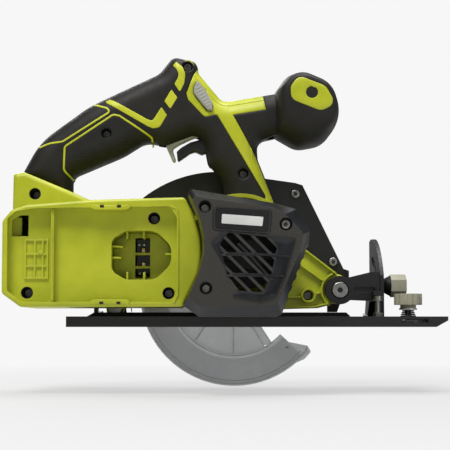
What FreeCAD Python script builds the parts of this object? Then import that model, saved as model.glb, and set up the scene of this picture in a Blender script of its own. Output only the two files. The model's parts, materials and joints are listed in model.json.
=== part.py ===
import FreeCAD, Part
import math
import os

from FreeCAD import Vector

# Cordless circular saw, millimetres. X forward, Y towards the blade side, Z up.
# Z = 0 is the sole; X = 0 is under the arbor; Y = 0 is the split plane of the handle shells.

# Driving dimensions
BLADE_R = 70.0
BLADE_THICK = 1.6
BLADE_Y = 34.0
ARBOR_Z = 29.5
ARBOR_R = 5.0
GEAR_MODULE = 1.0
PINION_TEETH = 8
GEAR_TEETH = 42
MOTOR_X = 8.0
MOTOR_R = 24.0
BARREL_R = 43.0
WALL = 3.0
BAY_FACE_Y = -86.0
BAY_FLOOR_Y = -76.0
CAP_FACE_Y = -122.0
CAP_ROOT_Y = -84.0
HANDLE_HALF = 19.0
SKIN = 2.5
CORE_HALF = 10.5
PANEL_HALF = 15.5
PANEL_INSET = 5.0
BODY_FAR_Y = 9.4
GUARD_NEAR_Y = 15.0
GUARD_FAR_Y = 50.0
LOWER_NEAR_Y = 26.5
LOWER_FAR_Y = 43.0
BLADE_CLEARANCE = 8.0
LOWER_R = BLADE_R + BLADE_CLEARANCE
PIVOT = (83.0, 29.2)
BEVEL = (36.0, 8.0)
BEVEL_SLOT_R = 47.2
BEVEL_TRAVEL = 50.0
DEPTH_ARM_R = 180.0
DEPTH_TRAVEL = 24.5
SOLE = 2.0
SHOE_NEAR_Y = -64.0
SHOE_FAR_Y = 62.0
SHOE_REAR_X = -130.0
SHOE_FRONT_X = 161.0
FIT = 0.05
SCREW_HEAD_R = 3.6
SCREW_R = 1.9
SCREW_WELL_R = 4.6
BOSS_TUBE_R = 5.8

# The depth clamp bolt sits on the arm's circle about the depth pivot, low at the rear
DEPTH_BOLT_ANGLE = 184.6
LOCK_PIN_Z = 33.0
LOCK_PIN_Y = 11.2
LOCK_TRAVEL = 2.5
GEAR_CASE_R = 25.4
MOTOR_BOSS_R = 19.0
SHAFT_R = 2.55
SEAT = 0.02

CENTRE_DISTANCE = GEAR_MODULE * (PINION_TEETH + GEAR_TEETH) / 2
MOTOR_Z = ARBOR_Z + math.sqrt(CENTRE_DISTANCE**2 - MOTOR_X**2)
MOTOR = (MOTOR_X, MOTOR_Z)
ARBOR = (0.0, ARBOR_Z)
BARREL = (2.0, 57.0)
DEPTH_BOLT = (
    PIVOT[0] + DEPTH_ARM_R * math.cos(math.radians(DEPTH_BOLT_ANGLE)),
    PIVOT[1] + DEPTH_ARM_R * math.sin(math.radians(DEPTH_BOLT_ANGLE)),
)

# Outlines in the X-Z plane: (x, z) or (x, z, corner radius)
HANDLE_OUTLINE = [
    (-120, 96), (-174, 119), (-158, 149, 60), (-118, 178.5, 90), (-62, 205, 14), (-50.5, 219.3, 7),
    (-31, 215, 7), (-29.5, 205.5, 6), (-10, 182, 9), (31.6, 189), (31.5, 154), (17.5, 150, 12),
    (18.5, 135, 10), (34, 95), (-9.5, 94), (-9.5, 118, 22), (-22, 131, 10), (-27, 157, 9),
    (-56, 146, 9), (-72, 149, 16), (-90, 137.5, 60), (-131, 120, 8), (-131, 106, 6),
]
GREEN_PANEL = [
    (-27, 215), (-34, 202), (-39.5, 187), (-38.2, 182, 3), (-25, 168, 3), (-15, 170, 2), (24, 105),
    (24, 90), (38, 90), (33, 95), (17, 135), (-2, 169.7), (24.4, 174), (21.2, 192),
]
ARM_SKIN = [(21.2, 192), (24.4, 174), (-2, 169.7), (17, 135), (33, 95), (45, 120), (45, 192)]
BAY_OUTLINE = [
    (-169.5, 87, 2), (-176, 79, 6), (-176, 25, 4), (-162, 14.8, 4), (-41, 15.2, 4), (-30, 38, 20),
    (-25, 59, 60), (-33, 84, 20), (-40, 97, 4), (-110, 95, 4), (-158, 91, 3),
]
BAY_RECESS = [
    (-172, 81, 2), (-166, 86, 2), (-152, 88.5, 2), (-51, 90, 3), (-45.6, 82, 4), (-45.6, 26, 4),
    (-50, 18.6, 2), (-161, 18.6, 3), (-172, 27, 3),
]
HUMP_OUTLINE = [
    (-175, 80), (-174.5, 119.5, 2), (-166, 121, 3), (-131, 106.5, 10), (-112, 98, 8), (-40, 98, 2),
    (-40, 20), (-175, 20),
]
GRIP_ROOT = [(-190, 80), (-190, 133), (-166, 122.6), (-120, 102.7), (-108, 98.6), (-40, 98.6), (-40, 80)]
SOCKET_OUTLINE = [
    (-95, 42, 7), (-84, 35.5, 8), (-62, 35.5, 12), (-50, 47, 12), (-50, 61, 12), (-62, 72.5, 12),
    (-84, 72.5, 10), (-95, 66, 7),
]
FRONT_ARM = [
    (30, 14, 2), (66, 15, 4), (79, 18.2, 4), (94, 22, 11), (90, 41, 11), (80, 42.5, 2), (50, 68),
    (30, 68),
]
CAP_ROOT = [
    (-38, 99, 3), (-34.5, 100.5, 2), (28.5, 90, 3), (42, 86, 3), (52, 71, 3), (51, 60, 3),
    (31, 9, 3), (28, 7.6, 2), (-29, 7.6, 2), (-41, 16, 2), (-31, 37, 20), (-25.5, 59, 40),
    (-30, 80, 20),
]
CAP_FACE = [
    (-34, 92.5, 2), (-31, 94, 1.5), (25, 86, 3), (33, 81, 3), (46, 68, 3), (43.5, 53, 3),
    (27.5, 18, 3), (22, 15.8, 2), (-28, 14.6, 2), (-36.5, 22, 2), (-29, 40, 20), (-23.5, 59, 40),
    (-28, 77, 20),
]
VENT_WINDOW = [
    (-14, 60), (-8, 68), (22, 64.5), (27, 57), (23, 38), (17, 25), (0, 26), (-9, 38),
]


def vec(x, y, z):
    return Vector(x, y, z)


def outline(corners, y=0.0):
    """A closed wire in the plane Y = y, its corners rounded where a third number gives a radius."""
    count = len(corners)
    spots = [vec(c[0], y, c[1]) for c in corners]
    joins = []
    for i, corner in enumerate(corners):
        spot = spots[i]
        radius = corner[2] if len(corner) > 2 else 0
        if not radius:
            joins.append((spot, None, spot))
            continue
        back = (spots[i - 1] - spot).normalize()
        ahead = (spots[(i + 1) % count] - spot).normalize()
        half = back.getAngle(ahead) / 2
        along = radius / math.tan(half)
        middle = (back + ahead).normalize() * (radius / math.sin(half) - radius)
        joins.append((spot + back * along, spot + middle, spot + ahead * along))
    edges = []
    for i, (start, middle, end) in enumerate(joins):
        if middle:
            edges.append(Part.Arc(start, middle, end).toShape())
        following = joins[(i + 1) % count][0]
        if end.distanceToPoint(following) > 1e-5:
            edges.append(Part.LineSegment(end, following).toShape())
    return Part.Wire(edges)


def slab(corners, y0, y1, grow=0.0):
    """The outline made into a solid from y0 to y1, grown or shrunk by grow."""
    face = Part.Face(outline(corners, y0))
    if grow:
        face = face.makeOffset2D(grow)
    return face.extrude(vec(0, y1 - y0, 0))


def rod(at, y0, y1, radius, hole=0.0):
    """A cylinder along Y about (x, z), with an optional hole."""
    solid = Part.makeCylinder(radius, y1 - y0, vec(at[0], y0, at[1]), vec(0, 1, 0))
    if hole:
        solid = solid.cut(Part.makeCylinder(hole, y1 - y0, vec(at[0], y0, at[1]), vec(0, 1, 0)))
    return solid


def rod_x(y, z, x0, x1, radius):
    return Part.makeCylinder(radius, x1 - x0, vec(x0, y, z), vec(1, 0, 0))


def rod_z(x, y, z0, z1, radius):
    return Part.makeCylinder(radius, z1 - z0, vec(x, y, z0), vec(0, 0, 1))


def box(x0, x1, y0, y1, z0, z1):
    return Part.makeBox(x1 - x0, y1 - y0, z1 - z0, vec(x0, y0, z0))


def around(at, radius, degrees):
    """The (x, z) point at this radius and angle about at."""
    angle = math.radians(degrees)
    return (at[0] + radius * math.cos(angle), at[1] + radius * math.sin(angle))


def sector(at, y0, y1, outer, inner, start, end):
    """A flat ring sector about (x, z) between two angles in degrees."""
    middle = (start + end) / 2
    corners = [around(at, outer, a) for a in (start, middle, end)]
    inside = [around(at, inner, a) for a in (end, middle, start)]
    points = [vec(x, y0, z) for x, z in corners + inside]
    edges = [
        Part.Arc(points[0], points[1], points[2]).toShape(),
        Part.LineSegment(points[2], points[3]).toShape(),
        Part.Arc(points[3], points[4], points[5]).toShape(),
        Part.LineSegment(points[5], points[0]).toShape(),
    ]
    return Part.Face(Part.Wire(edges)).extrude(vec(0, y1 - y0, 0))


def hexagon(at, y0, y1, radius, turn=0.0):
    corners = [around(at, radius, turn + 60 * i) for i in range(6)]
    return slab(corners, y0, y1)


def fuse(solids):
    return solids[0].multiFuse(solids[1:]).removeSplitter()


def rim_edges(shape, y):
    """The edges that lie in the plane Y = y."""
    found = []
    for edge in shape.Edges:
        bounds = edge.BoundBox
        if abs(bounds.YMin - y) < 0.01 and abs(bounds.YMax - y) < 0.01:
            found.append(edge)
    return found


def soften(shape, y, radius):
    return shape.makeFillet(radius, rim_edges(shape, y))


def mirror(shape):
    """The same shape on the other side of the split plane."""
    return shape.mirror(vec(0, 0, 0), vec(0, 1, 0))


def write(name, shape):
    if isinstance(shape, list):
        shape = Part.makeCompound(shape)
    for solid in shape.Solids:
        assert solid.isValid(), name
    print(name, len(shape.Solids), round(shape.Volume))
    shape.exportStep("parts/" + name + ".step")


# Screws that close the shells: x, z, the outer wall, the plane the heads seat on, the far end of the boss
SHELL_SCREWS = [
    (-103.5, 154.5, -12.0, -8.0, 10.0), (6.2, 122.5, -12.0, -8.0, 10.0), (-38.7, 209.5, -12.0, -9.0, 10.0),
    (-157.3, 103.7, -39.0, -24.0, 8.4), (-158.2, 25.6, -75.0, -62.0, 8.4), (-63.0, 81.8, -75.0, -62.0, 8.4),
    (-52.0, 25.3, -75.0, -62.0, 8.4),
]
CAP_SCREWS = [(-24.8, 86.8, -104.0), (-24.0, 27.9, -104.0), (33.7, 74.2, -117.0)]
GUARD_SCREWS = [(49.9, 109.2), (80.9, 53.1), (-66.0, 92.0)]
SHELL_SCREW_END_Y = 6.0


def screw(x, z, head_y, end_y):
    """A pan-head screw driven along +Y with a cross-shaped six-lobe recess."""
    head = rod((x, z), head_y - 2.6, head_y, SCREW_HEAD_R)
    head = soften(head, head_y - 2.6, 1.0)
    for turn in (0, 60, 120):
        bar = box(-1.7, 1.7, head_y - 2.7, head_y - 1.2, -0.5, 0.5)
        bar.rotate(vec(0, 0, 0), vec(0, 1, 0), turn)
        bar.translate(vec(x, 0, z))
        head = head.cut(bar)
    return head.fuse(rod((x, z), head_y, end_y, SCREW_R))


def near_bosses():
    return [rod((x, z), outer, 0, BOSS_TUBE_R) for x, z, outer, seat, far in SHELL_SCREWS]


def far_bosses():
    return [rod((x, z), 0, far, BOSS_TUBE_R) for x, z, outer, seat, far in SHELL_SCREWS]


def screw_holes(surface_y):
    holes = []
    for x, z, outer, seat, far in SHELL_SCREWS:
        holes.append(rod((x, z), surface_y, seat, SCREW_WELL_R))
        holes.append(rod((x, z), seat, SHELL_SCREW_END_Y + 0.5, SCREW_R + FIT))
    return holes


# Rooms inside the shells for the parts that sit or move in them
TRIGGER_PIVOT = (-33.0, 163.0)
TRIGGER_TRAVEL = 9.0
LOCK_BUTTON = [
    (-31.5, 197.5, 1), (-24, 190, 3), (-18, 177, 2), (-18.5, 172.5, 1), (-23, 172.5, 1),
    (-34, 186.5, 2), (-34, 191.5, 1),
]
TRIGGER_ROOM = [(-60, 138), (-62, 160), (-46, 174), (-22, 174), (-19, 150), (-22, 128), (-45, 125)]
TRIGGER_ROOM_HALF = 6.2


def trigger_room():
    return slab(TRIGGER_ROOM, -TRIGGER_ROOM_HALF, TRIGGER_ROOM_HALF)


def lock_room():
    return slab(LOCK_BUTTON, -40, 40, 0.3)


def handle_full():
    """The near half of the handle frame, rounded at its outer face."""
    solid = slab(HANDLE_OUTLINE, -HANDLE_HALF, 0)
    return soften(solid, -HANDLE_HALF, 4.0)


def handle_core():
    return slab(HANDLE_OUTLINE, -CORE_HALF, 0, -SKIN)


def handle_cavity():
    return slab(HANDLE_OUTLINE, -CORE_HALF + WALL, 1, -SKIN - WALL)


def guard_clearance():
    """Room that the upper guard takes out of the far half of the handle."""
    return box(-118, 100, GUARD_NEAR_Y - 0.6, 60, -10, 129)


def housing_half():
    """The green frame inside the handle, as its near half."""
    panel = slab(HANDLE_OUTLINE, -PANEL_HALF, 0, -PANEL_INSET).common(slab(GREEN_PANEL, -HANDLE_HALF, 1))
    return panel.fuse(handle_core()).cut(handle_cavity())


def make_housing_near():
    bay = soften(slab(BAY_OUTLINE, BAY_FACE_Y, 0), BAY_FACE_Y, 2.5)
    hump = soften(slab(HUMP_OUTLINE, -40, 0), -40, 4.0)
    barrel = rod(BARREL, CAP_ROOT_Y, 0, BARREL_R)
    arm = soften(slab(FRONT_ARM, -10, 0), -10, 1.5)
    body = fuse([bay, hump, barrel, arm])
    recess = slab(BAY_RECESS, BAY_FACE_Y - 1, BAY_FLOOR_Y)
    pocket = slab(BAY_OUTLINE, BAY_FLOOR_Y + WALL, 1, -WALL)
    pocket = pocket.cut(rod(BARREL, -90, 2, BARREL_R))
    hump_room = slab([(-171, 84), (-171, 115), (-134, 103), (-112, 94), (-46, 94), (-46, 84)], -36, 1)
    barrel_room = rod(BARREL, CAP_ROOT_Y - 1, 1, BARREL_R - WALL)
    arm_room = slab([(56, 26), (58, 48), (74, 34), (68, 24)], -7, 1)
    socket_wall = slab(SOCKET_OUTLINE, BAY_FLOOR_Y, -22, WALL)
    socket_hole = slab(SOCKET_OUTLINE, BAY_FACE_Y - 1, -30)
    terminal_hole = box(-82, -62, -31, -20, 40, 68)
    body = body.cut(pocket).cut(hump_room).cut(barrel_room).cut(recess).cut(arm_room)
    body = body.fuse(socket_wall).cut(socket_hole).cut(terminal_hole)
    ribs = [
        box(-139.2, -137.6, BAY_FLOOR_Y - 7, BAY_FLOOR_Y + 0.5, 19, 88),
        box(-148, -146.6, BAY_FLOOR_Y + 1, -2, 16, 86),
    ]
    ribs += lattice_pad()
    collars = []
    for y in (-74, -20):
        ring = rod(BARREL, y, y + 6, BARREL_R - WALL + 0.5).cut(rod(MOTOR, y - 1, y + 7, MOTOR_R + FIT))
        collars.append(ring)
    body = fuse([body] + ribs + near_bosses()[3:] + collars)
    body = body.fuse(housing_half()).multiFuse(near_bosses()[:3])
    body = body.cut(slab(SOCKET_OUTLINE, BAY_FACE_Y - 1, -30)).cut(hex_key_pocket())
    cuts = screw_holes(-100)
    cuts += [trigger_room(), lock_room(), rod(PIVOT, -30, 2, 4.0 + FIT), arm_screw_hole()]
    cuts += [rod(DEPTH_BOLT, -5, 1, 6.2), rod(TRIGGER_PIVOT, -10.5, 2, 2.0 + SEAT)]
    cuts += [switch_room()] + [rod((x, z), CAP_ROOT_Y, -80.5, SCREW_R + FIT) for x, z, seat in CAP_SCREWS]
    for cut in cuts:
        body = body.cut(cut)
    return body.removeSplitter()


def hex_key_pocket():
    return slab([(-170, 68), (-170, 80), (-164, 84), (-157.5, 84), (-157.5, 68)], BAY_FLOOR_Y - 1, -64)


def lattice_pad():
    """The shallow grid moulded on the bay floor."""
    bars = []
    for x in (-160.3, -153.2, -147.2, -143.6):
        bars.append(box(x, x + 1.4, BAY_FLOOR_Y - 1.5, BAY_FLOOR_Y + 0.5, 36, 66))
    for z in (36, 45, 54, 64.6):
        bars.append(box(-160.3, -142.2, BAY_FLOOR_Y - 1.5, BAY_FLOOR_Y + 0.5, z, z + 1.4))
    return bars


def arm_screw_hole():
    return rod((58.2, 25.1), -12, -6, 3.8).fuse(rod((58.2, 25.1), -8, 12, SCREW_R + FIT))


def switch_room():
    """Room for the switch and for the cross bar of the lock-off button above it."""
    return box(-66, -20, -7.4, 7.4, 160, 186).fuse(box(-28.5, -21.0, -20.0, 20.0, 187.2, 191.3))


def make_housing_far():
    body_outline = slab(BAY_OUTLINE, 0, BODY_FAR_Y)
    hump = slab(HUMP_OUTLINE, 0, BODY_FAR_Y)
    barrel = rod(BARREL, 0, BODY_FAR_Y, BARREL_R)
    arm = slab(FRONT_ARM, 0, 7.4)
    body = fuse([body_outline, hump, barrel, arm])
    body = body.cut(slab(BAY_OUTLINE, -1, BODY_FAR_Y - WALL, -WALL).cut(rod(BARREL, -2, 12, BARREL_R)))
    body = body.cut(rod(BARREL, -1, BODY_FAR_Y - WALL, BARREL_R - WALL))
    body = body.cut(slab([(-171, 84), (-171, 115), (-134, 103), (-112, 94), (-46, 94), (-46, 84)], -1, 6.4))
    handle = mirror(housing_half()).cut(guard_clearance())
    gear_hole = rod(ARBOR, -2, BODY_FAR_Y + 1, GEAR_CASE_R + 0.3)
    gear_hole = gear_hole.fuse(rod(MOTOR, -2, BODY_FAR_Y + 1, MOTOR_BOSS_R + 0.3))
    gear_hole = gear_hole.fuse(Part.makeCylinder(2.9, 40, vec(20, LOCK_PIN_Y, LOCK_PIN_Z), vec(1, 0, 0)))
    body = body.fuse(handle).cut(gear_hole)
    bosses = far_bosses()
    bosses.append(rod((58.2, 25.1), 0, 7, 4.6))
    bosses.append(rod(DEPTH_BOLT, 0, BODY_FAR_Y, 7.0))
    body = fuse([body] + bosses)
    holes = []
    for x, z, outer, seat, far in SHELL_SCREWS:
        holes.append(rod((x, z), -1, SHELL_SCREW_END_Y + 0.5, SCREW_R + FIT))
    holes += [rod((58.2, 25.1), -1, 7, SCREW_R + FIT), trigger_room(), lock_room(), switch_room()]
    holes += [rod(PIVOT, -2, 9, 4.0 + FIT), rod(DEPTH_BOLT, -2, BODY_FAR_Y + 1, 3.0 + FIT)]
    holes.append(rod(TRIGGER_PIVOT, -2, 10.5, 2.0 + SEAT))
    for hole in holes:
        body = body.cut(hole)
    return body.removeSplitter()


def make_gear_case():
    """The bearing plate behind the guard: a shallow cup over the gear pair."""
    cup = rod(ARBOR, 0.6, GUARD_NEAR_Y, GEAR_CASE_R).fuse(rod(MOTOR, 0.6, GUARD_NEAR_Y, MOTOR_BOSS_R))
    cup = cup.cut(rod(ARBOR, 7.2, GUARD_NEAR_Y + 1, 23.0)).cut(rod(MOTOR, 7.2, GUARD_NEAR_Y + 1, 8.0))
    cup = cup.cut(rod(MOTOR, 0, 7.2, 8.0 + FIT)).cut(rod(ARBOR, 1.8, 8, 8.0 + FIT))
    lock_bore = Part.makeCylinder(2.5 + FIT, 12, vec(18, LOCK_PIN_Y, LOCK_PIN_Z), vec(1, 0, 0))
    return cup.cut(lock_bore).removeSplitter()


def gear_blank(at, y0, y1, teeth, bore):
    """A spur gear with straight-flanked teeth about an axis along Y."""
    pitch_r = GEAR_MODULE * teeth / 2
    tip = pitch_r + 0.9 * GEAR_MODULE
    root = pitch_r - 1.15 * GEAR_MODULE
    pitch = 360 / teeth
    points = []
    for i in range(teeth):
        angle = i * pitch + (pitch / 2 if teeth == PINION_TEETH else 0)
        points.append(around(at, root, angle - 0.31 * pitch))
        points.append(around(at, tip, angle - 0.13 * pitch))
        points.append(around(at, tip, angle + 0.13 * pitch))
        points.append(around(at, root, angle + 0.31 * pitch))
    return slab(points, y0, y1).cut(rod(at, y0 - 1, y1 + 1, bore))


def mesh_angle():
    return math.degrees(math.atan2(MOTOR[1] - ARBOR[1], MOTOR[0] - ARBOR[0]))


def make_driven_gear():
    gear = gear_blank(ARBOR, 8.4, 14.0, GEAR_TEETH, ARBOR_R + 2.0)
    gear.rotate(vec(ARBOR[0], 0, ARBOR[1]), vec(0, 1, 0), -mesh_angle())
    for i in range(6):
        hole = rod(around(ARBOR, 14.0, 60 * i + LOCK_HOLE_TURN), 8, 15, 2.0)
        gear = gear.cut(hole)
    return gear


LOCK_HOLE_TURN = 20.0


def make_pinion():
    pinion = gear_blank(MOTOR, 8.4, 14.0, PINION_TEETH, 1.6)
    pinion.rotate(vec(MOTOR[0], 0, MOTOR[1]), vec(0, 1, 0), -mesh_angle())
    return pinion


def bearing(at, y0, y1, outer, inner):
    """A sealed ball bearing as one ring with its shield grooves."""
    ring = rod(at, y0, y1, outer, inner)
    middle = (outer + inner) / 2
    groove = (outer - inner) / 6
    for y in (y0, y1 - 0.4):
        ring = ring.cut(rod(at, y, y + 0.4, middle + groove, middle - groove))
    return ring


def make_spindle():
    shaft = rod(ARBOR, 2.0, 30.0, ARBOR_R)
    collar = rod(ARBOR, 7.4, 14.2, ARBOR_R + 2.0)
    nose = rod(ARBOR, 30.0, 38.8, ARBOR_R)
    return fuse([shaft, collar, nose]).cut(rod(ARBOR, 26, 40, 2.6))


def make_flange(y0, y1):
    ring = rod(ARBOR, y0, y1, 15.0)
    return ring.cut(rod(ARBOR, y0 - 1, y1 + 1, ARBOR_R + SEAT))


def make_arbor_screw():
    head = hexagon(ARBOR, 40.6, 44.6, 6.2)
    washer = rod(ARBOR, 39.2, 40.6, 8.5)
    return fuse([head, washer, rod(ARBOR, 28, 39.2, 2.6)])


def guard_profile():
    """The side outline of the upper guard: a rear arc, a sloping top and a straight front edge."""
    centre = (-13.0, 27.5)
    rear = [around(centre, 100.0, a) for a in (91, 122, 152)]
    points = [vec(x, 0, z) for x, z in rear]
    edges = [Part.Arc(points[0], points[1], points[2]).toShape()]
    tail = [points[2], vec(-88, 0, 46), vec(-84.5, 0, 12), vec(84, 0, 12), vec(94, 0, 39), vec(94, 0, 46),
            vec(89.5, 0, 47.5), vec(56, 0, 116.5), vec(50, 0, 118.4), points[0]]
    for start, end in zip(tail, tail[1:]):
        edges.append(Part.LineSegment(start, end).toShape())
    return Part.Wire(edges)


def guard_slab(y0, y1, grow=0.0):
    face = Part.Face(guard_profile())
    if grow:
        face = face.makeOffset2D(grow)
    solid = face.extrude(vec(0, y1 - y0, 0))
    solid.translate(vec(0, y0, 0))
    return solid


BOSS_R = 13.0
GUARD_PLATE = 3.0


def make_upper_guard_inner():
    """The black plate that carries the gear case, with the hub that the lower guard turns on."""
    plate = guard_slab(GUARD_NEAR_Y, GUARD_NEAR_Y + GUARD_PLATE)
    plate = plate.cut(box(-84, 76, 10, 20, 0, 26).cut(rod(ARBOR, 10, 20, 27.5)))
    rim = guard_slab(GUARD_NEAR_Y, 31.8).cut(guard_slab(GUARD_NEAR_Y, 40, -2.5))
    rim = rim.cut(box(-120, 120, 10, 60, 0, 48))
    hub = rod(ARBOR, GUARD_NEAR_Y, 29.8, BOSS_R)
    body = fuse([plate, rim, hub])
    body = body.cut(rod(ARBOR, 16.9, 24.0, 9.5 + FIT)).cut(rod(ARBOR, 10, 31, 7.0))
    body = body.cut(rod(ARBOR, 14, 24.0, 9.5 + FIT))
    for x, z in GUARD_SCREWS:
        body = body.fuse(rod((x, z), GUARD_NEAR_Y, 31.8, 4.4))
        body = body.cut(rod((x, z), 10, 32.5, SCREW_R + FIT))
    return body.removeSplitter()


def make_upper_guard_outer():
    """The far shell over the blade, open below and cut back round the arbor for blade changes."""
    shell = soften(guard_slab(32.0, GUARD_FAR_Y), GUARD_FAR_Y, 2.0)
    shell = shell.cut(guard_slab(31, GUARD_FAR_Y - 2.5, -2.5))
    shell = shell.cut(box(-120, 120, 10, 60, 0, 27))
    shell = shell.cut(box(-84.6, 84, 30, 47.5, 0, 60))
    shell = shell.cut(box(84, 120, 30, 60, 0, 48))
    window = fuse([rod(ARBOR, 45, 52, 30.0), box(-30, 30, 45, 52, 0, ARBOR_Z)])
    shell = shell.cut(window)
    for x, z in GUARD_SCREWS:
        shell = shell.fuse(rod((x, z), 32.0, GUARD_FAR_Y - 2.0, 4.4))
        shell = shell.cut(rod((x, z), 31, 44, SCREW_R + FIT))
    return shell.removeSplitter()


LOWER_START = -43.0
LOWER_END = -190.0


def make_lower_guard():
    """The clear swinging guard: rim, two side walls, ribs, a hub ring and the finger tab."""
    mid = (LOWER_START + LOWER_END) / 2
    rim = sector(ARBOR, LOWER_NEAR_Y, LOWER_FAR_Y, LOWER_R, LOWER_R - 2.0, LOWER_START, LOWER_END)
    near = sector(ARBOR, LOWER_NEAR_Y, LOWER_NEAR_Y + 2, LOWER_R - 1, 52.0, LOWER_START, LOWER_END)
    web = sector(ARBOR, LOWER_NEAR_Y + 1.2, LOWER_NEAR_Y + 3, 53.0, BOSS_R + 2, LOWER_START - 18, LOWER_END)
    far = sector(ARBOR, LOWER_FAR_Y - 2, LOWER_FAR_Y, LOWER_R - 1, 56.0, LOWER_START, LOWER_END)
    hub = rod(ARBOR, LOWER_NEAR_Y, 29.5, BOSS_R + 4.0)
    ribs = []
    for angle in (-90, -128, -165):
        rib = box(BOSS_R + 3, 52.5, LOWER_NEAR_Y, LOWER_NEAR_Y + 1.6, -0.7, 0.7)
        rib.rotate(vec(0, 0, 0), vec(0, 1, 0), -angle)
        rib.translate(vec(ARBOR[0], 0, ARBOR[1]))
        ribs.append(rib)
    tab_corners = [
        (38, -12, 2), (45, -12.5, 6), (60.5, -15.5, 3), (63.5, -20.5, 2), (58, -26.5, 2), (50, -30),
        around(ARBOR, LOWER_R - 1, -50.5), around(ARBOR, 60, -50),
    ]
    tab = slab(tab_corners, LOWER_NEAR_Y, LOWER_NEAR_Y + 2).cut(rod(ARBOR, 20, 50, LOWER_R - 22))
    lip_corners = [
        (60.5, -15.5), (63.5, -20.5, 2), (58, -26.5, 2), (51, -29.6), (50, -28), (57, -24.5), (61, -20),
    ]
    lip = slab(lip_corners, LOWER_NEAR_Y, LOWER_FAR_Y)
    guard = fuse([rim, near, web, far, hub, tab, lip] + ribs)
    return guard.cut(rod(ARBOR, 20, 50, BOSS_R + FIT)).removeSplitter()


def make_guard_spring():
    """The return spring round the hub, as its wound outer form."""
    turns = []
    for i in range(4):
        ring = Part.makeTorus(14.4, 0.7, vec(ARBOR[0], 19.4 + 1.6 * i, ARBOR[1]), vec(0, 1, 0))
        turns.append(ring)
    return turns


def make_motor_can():
    tube = rod(MOTOR, -80, -12, MOTOR_R, MOTOR_R - 2.0)
    end = rod(MOTOR, -12, -10, MOTOR_R, 9.0)
    return tube.fuse(end).removeSplitter()


def make_motor_magnets():
    return [sector(MOTOR, -72, -24, 21.9, 18.2, start, start + 130) for start in (25, 205)]


def make_armature():
    """The laminated rotor with its slots, and the winding ends."""
    stack = rod(MOTOR, -68, -28, 17.6, SHAFT_R + SEAT)
    for i in range(5):
        slot = box(9, 18, -69, -27, -1.2, 1.2)
        slot.rotate(vec(0, 0, 0), vec(0, 1, 0), 72 * i)
        slot.translate(vec(MOTOR[0], 0, MOTOR[1]))
        stack = stack.cut(slot)
    ends = [rod(MOTOR, -74, -68, 13.5, SHAFT_R + SEAT), rod(MOTOR, -28, -22, 13.5, SHAFT_R + SEAT)]
    return fuse([stack] + ends)


def make_commutator():
    ring = rod(MOTOR, -90, -76, 7.0, SHAFT_R + SEAT)
    for i in range(5):
        slot = box(5.6, 8, -91, -75, -0.3, 0.3)
        slot.rotate(vec(0, 0, 0), vec(0, 1, 0), 72 * i)
        slot.translate(vec(MOTOR[0], 0, MOTOR[1]))
        ring = ring.cut(slot)
    return ring


def make_motor_shaft():
    return fuse([rod(MOTOR, -102, 7.4, SHAFT_R), rod(MOTOR, 7.4, 14.0, 1.55)])


def make_fan():
    """A radial fan: a disc with straight blades."""
    disc = rod(MOTOR, -9, -7.5, 21.0, SHAFT_R + SEAT)
    hub = rod(MOTOR, -9, -2, 5.0, SHAFT_R + SEAT)
    pieces = [disc, hub]
    for i in range(10):
        blade = box(3.5, 20.5, -7.6, -2, -0.7, 0.7)
        blade.rotate(vec(0, 0, 0), vec(0, 1, 0), 36 * i)
        blade.translate(vec(MOTOR[0], 0, MOTOR[1]))
        pieces.append(blade)
    return fuse(pieces).cut(rod(MOTOR, -12, 0, SHAFT_R + SEAT))


def make_brush_holder():
    """The plastic end bell that closes the can and carries both brush boxes."""
    plate = rod(MOTOR, -84, -80.2, MOTOR_R, 9.0)
    cup = rod(MOTOR, -103, -98, 11.0).cut(rod(MOTOR, -102.5, -97.9, 7.0 + FIT))
    boxes = []
    for side in (-1, 1):
        x = MOTOR_X + side * 15
        outer = box(x - 6, x + 6, -96, -84, MOTOR_Z - 4, MOTOR_Z + 4)
        inner = box(x - 7, x + 7, -92, -86, MOTOR_Z - 2.6, MOTOR_Z + 2.6)
        boxes.append(outer.cut(inner))
    legs = [box(MOTOR_X - 2, MOTOR_X + 2, -98.5, -83, MOTOR_Z + z, MOTOR_Z + z + 1.5) for z in (-10.5, 9)]
    return fuse([plate, cup] + boxes + legs)


def make_brushes():
    brushes = []
    for side in (-1, 1):
        inner_x, outer_x = (7.1, 17.0) if side > 0 else (-17.0, -7.1)
        brush = box(MOTOR_X + inner_x, MOTOR_X + outer_x, -91.9, -86.1, MOTOR_Z - 2.5, MOTOR_Z + 2.5)
        brushes.append(brush)
    return brushes


def motor_bearings():
    return [bearing(MOTOR, 1.0, 6.0, 8.0, SHAFT_R + FIT), bearing(MOTOR, -102, -98.2, 7.0, SHAFT_R + FIT)]


def spindle_bearings():
    return [bearing(ARBOR, 2.2, 7.2, 8.0, ARBOR_R + FIT), bearing(ARBOR, 17.2, 23.6, 9.5, ARBOR_R + FIT)]


def cap_loft(grow, y_root, y_break, y_face):
    """A straight skirt that turns into a bevel up to the smaller face outline."""
    root = Part.Face(outline(CAP_ROOT, y_break))
    face = Part.Face(outline(CAP_FACE, y_face))
    if grow:
        root = root.makeOffset2D(grow)
        face = face.makeOffset2D(grow)
    skirt = root.extrude(vec(0, y_root - y_break, 0))
    bevel = Part.makeLoft([root.OuterWire, face.OuterWire], True, True)
    return skirt.fuse(bevel)


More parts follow.
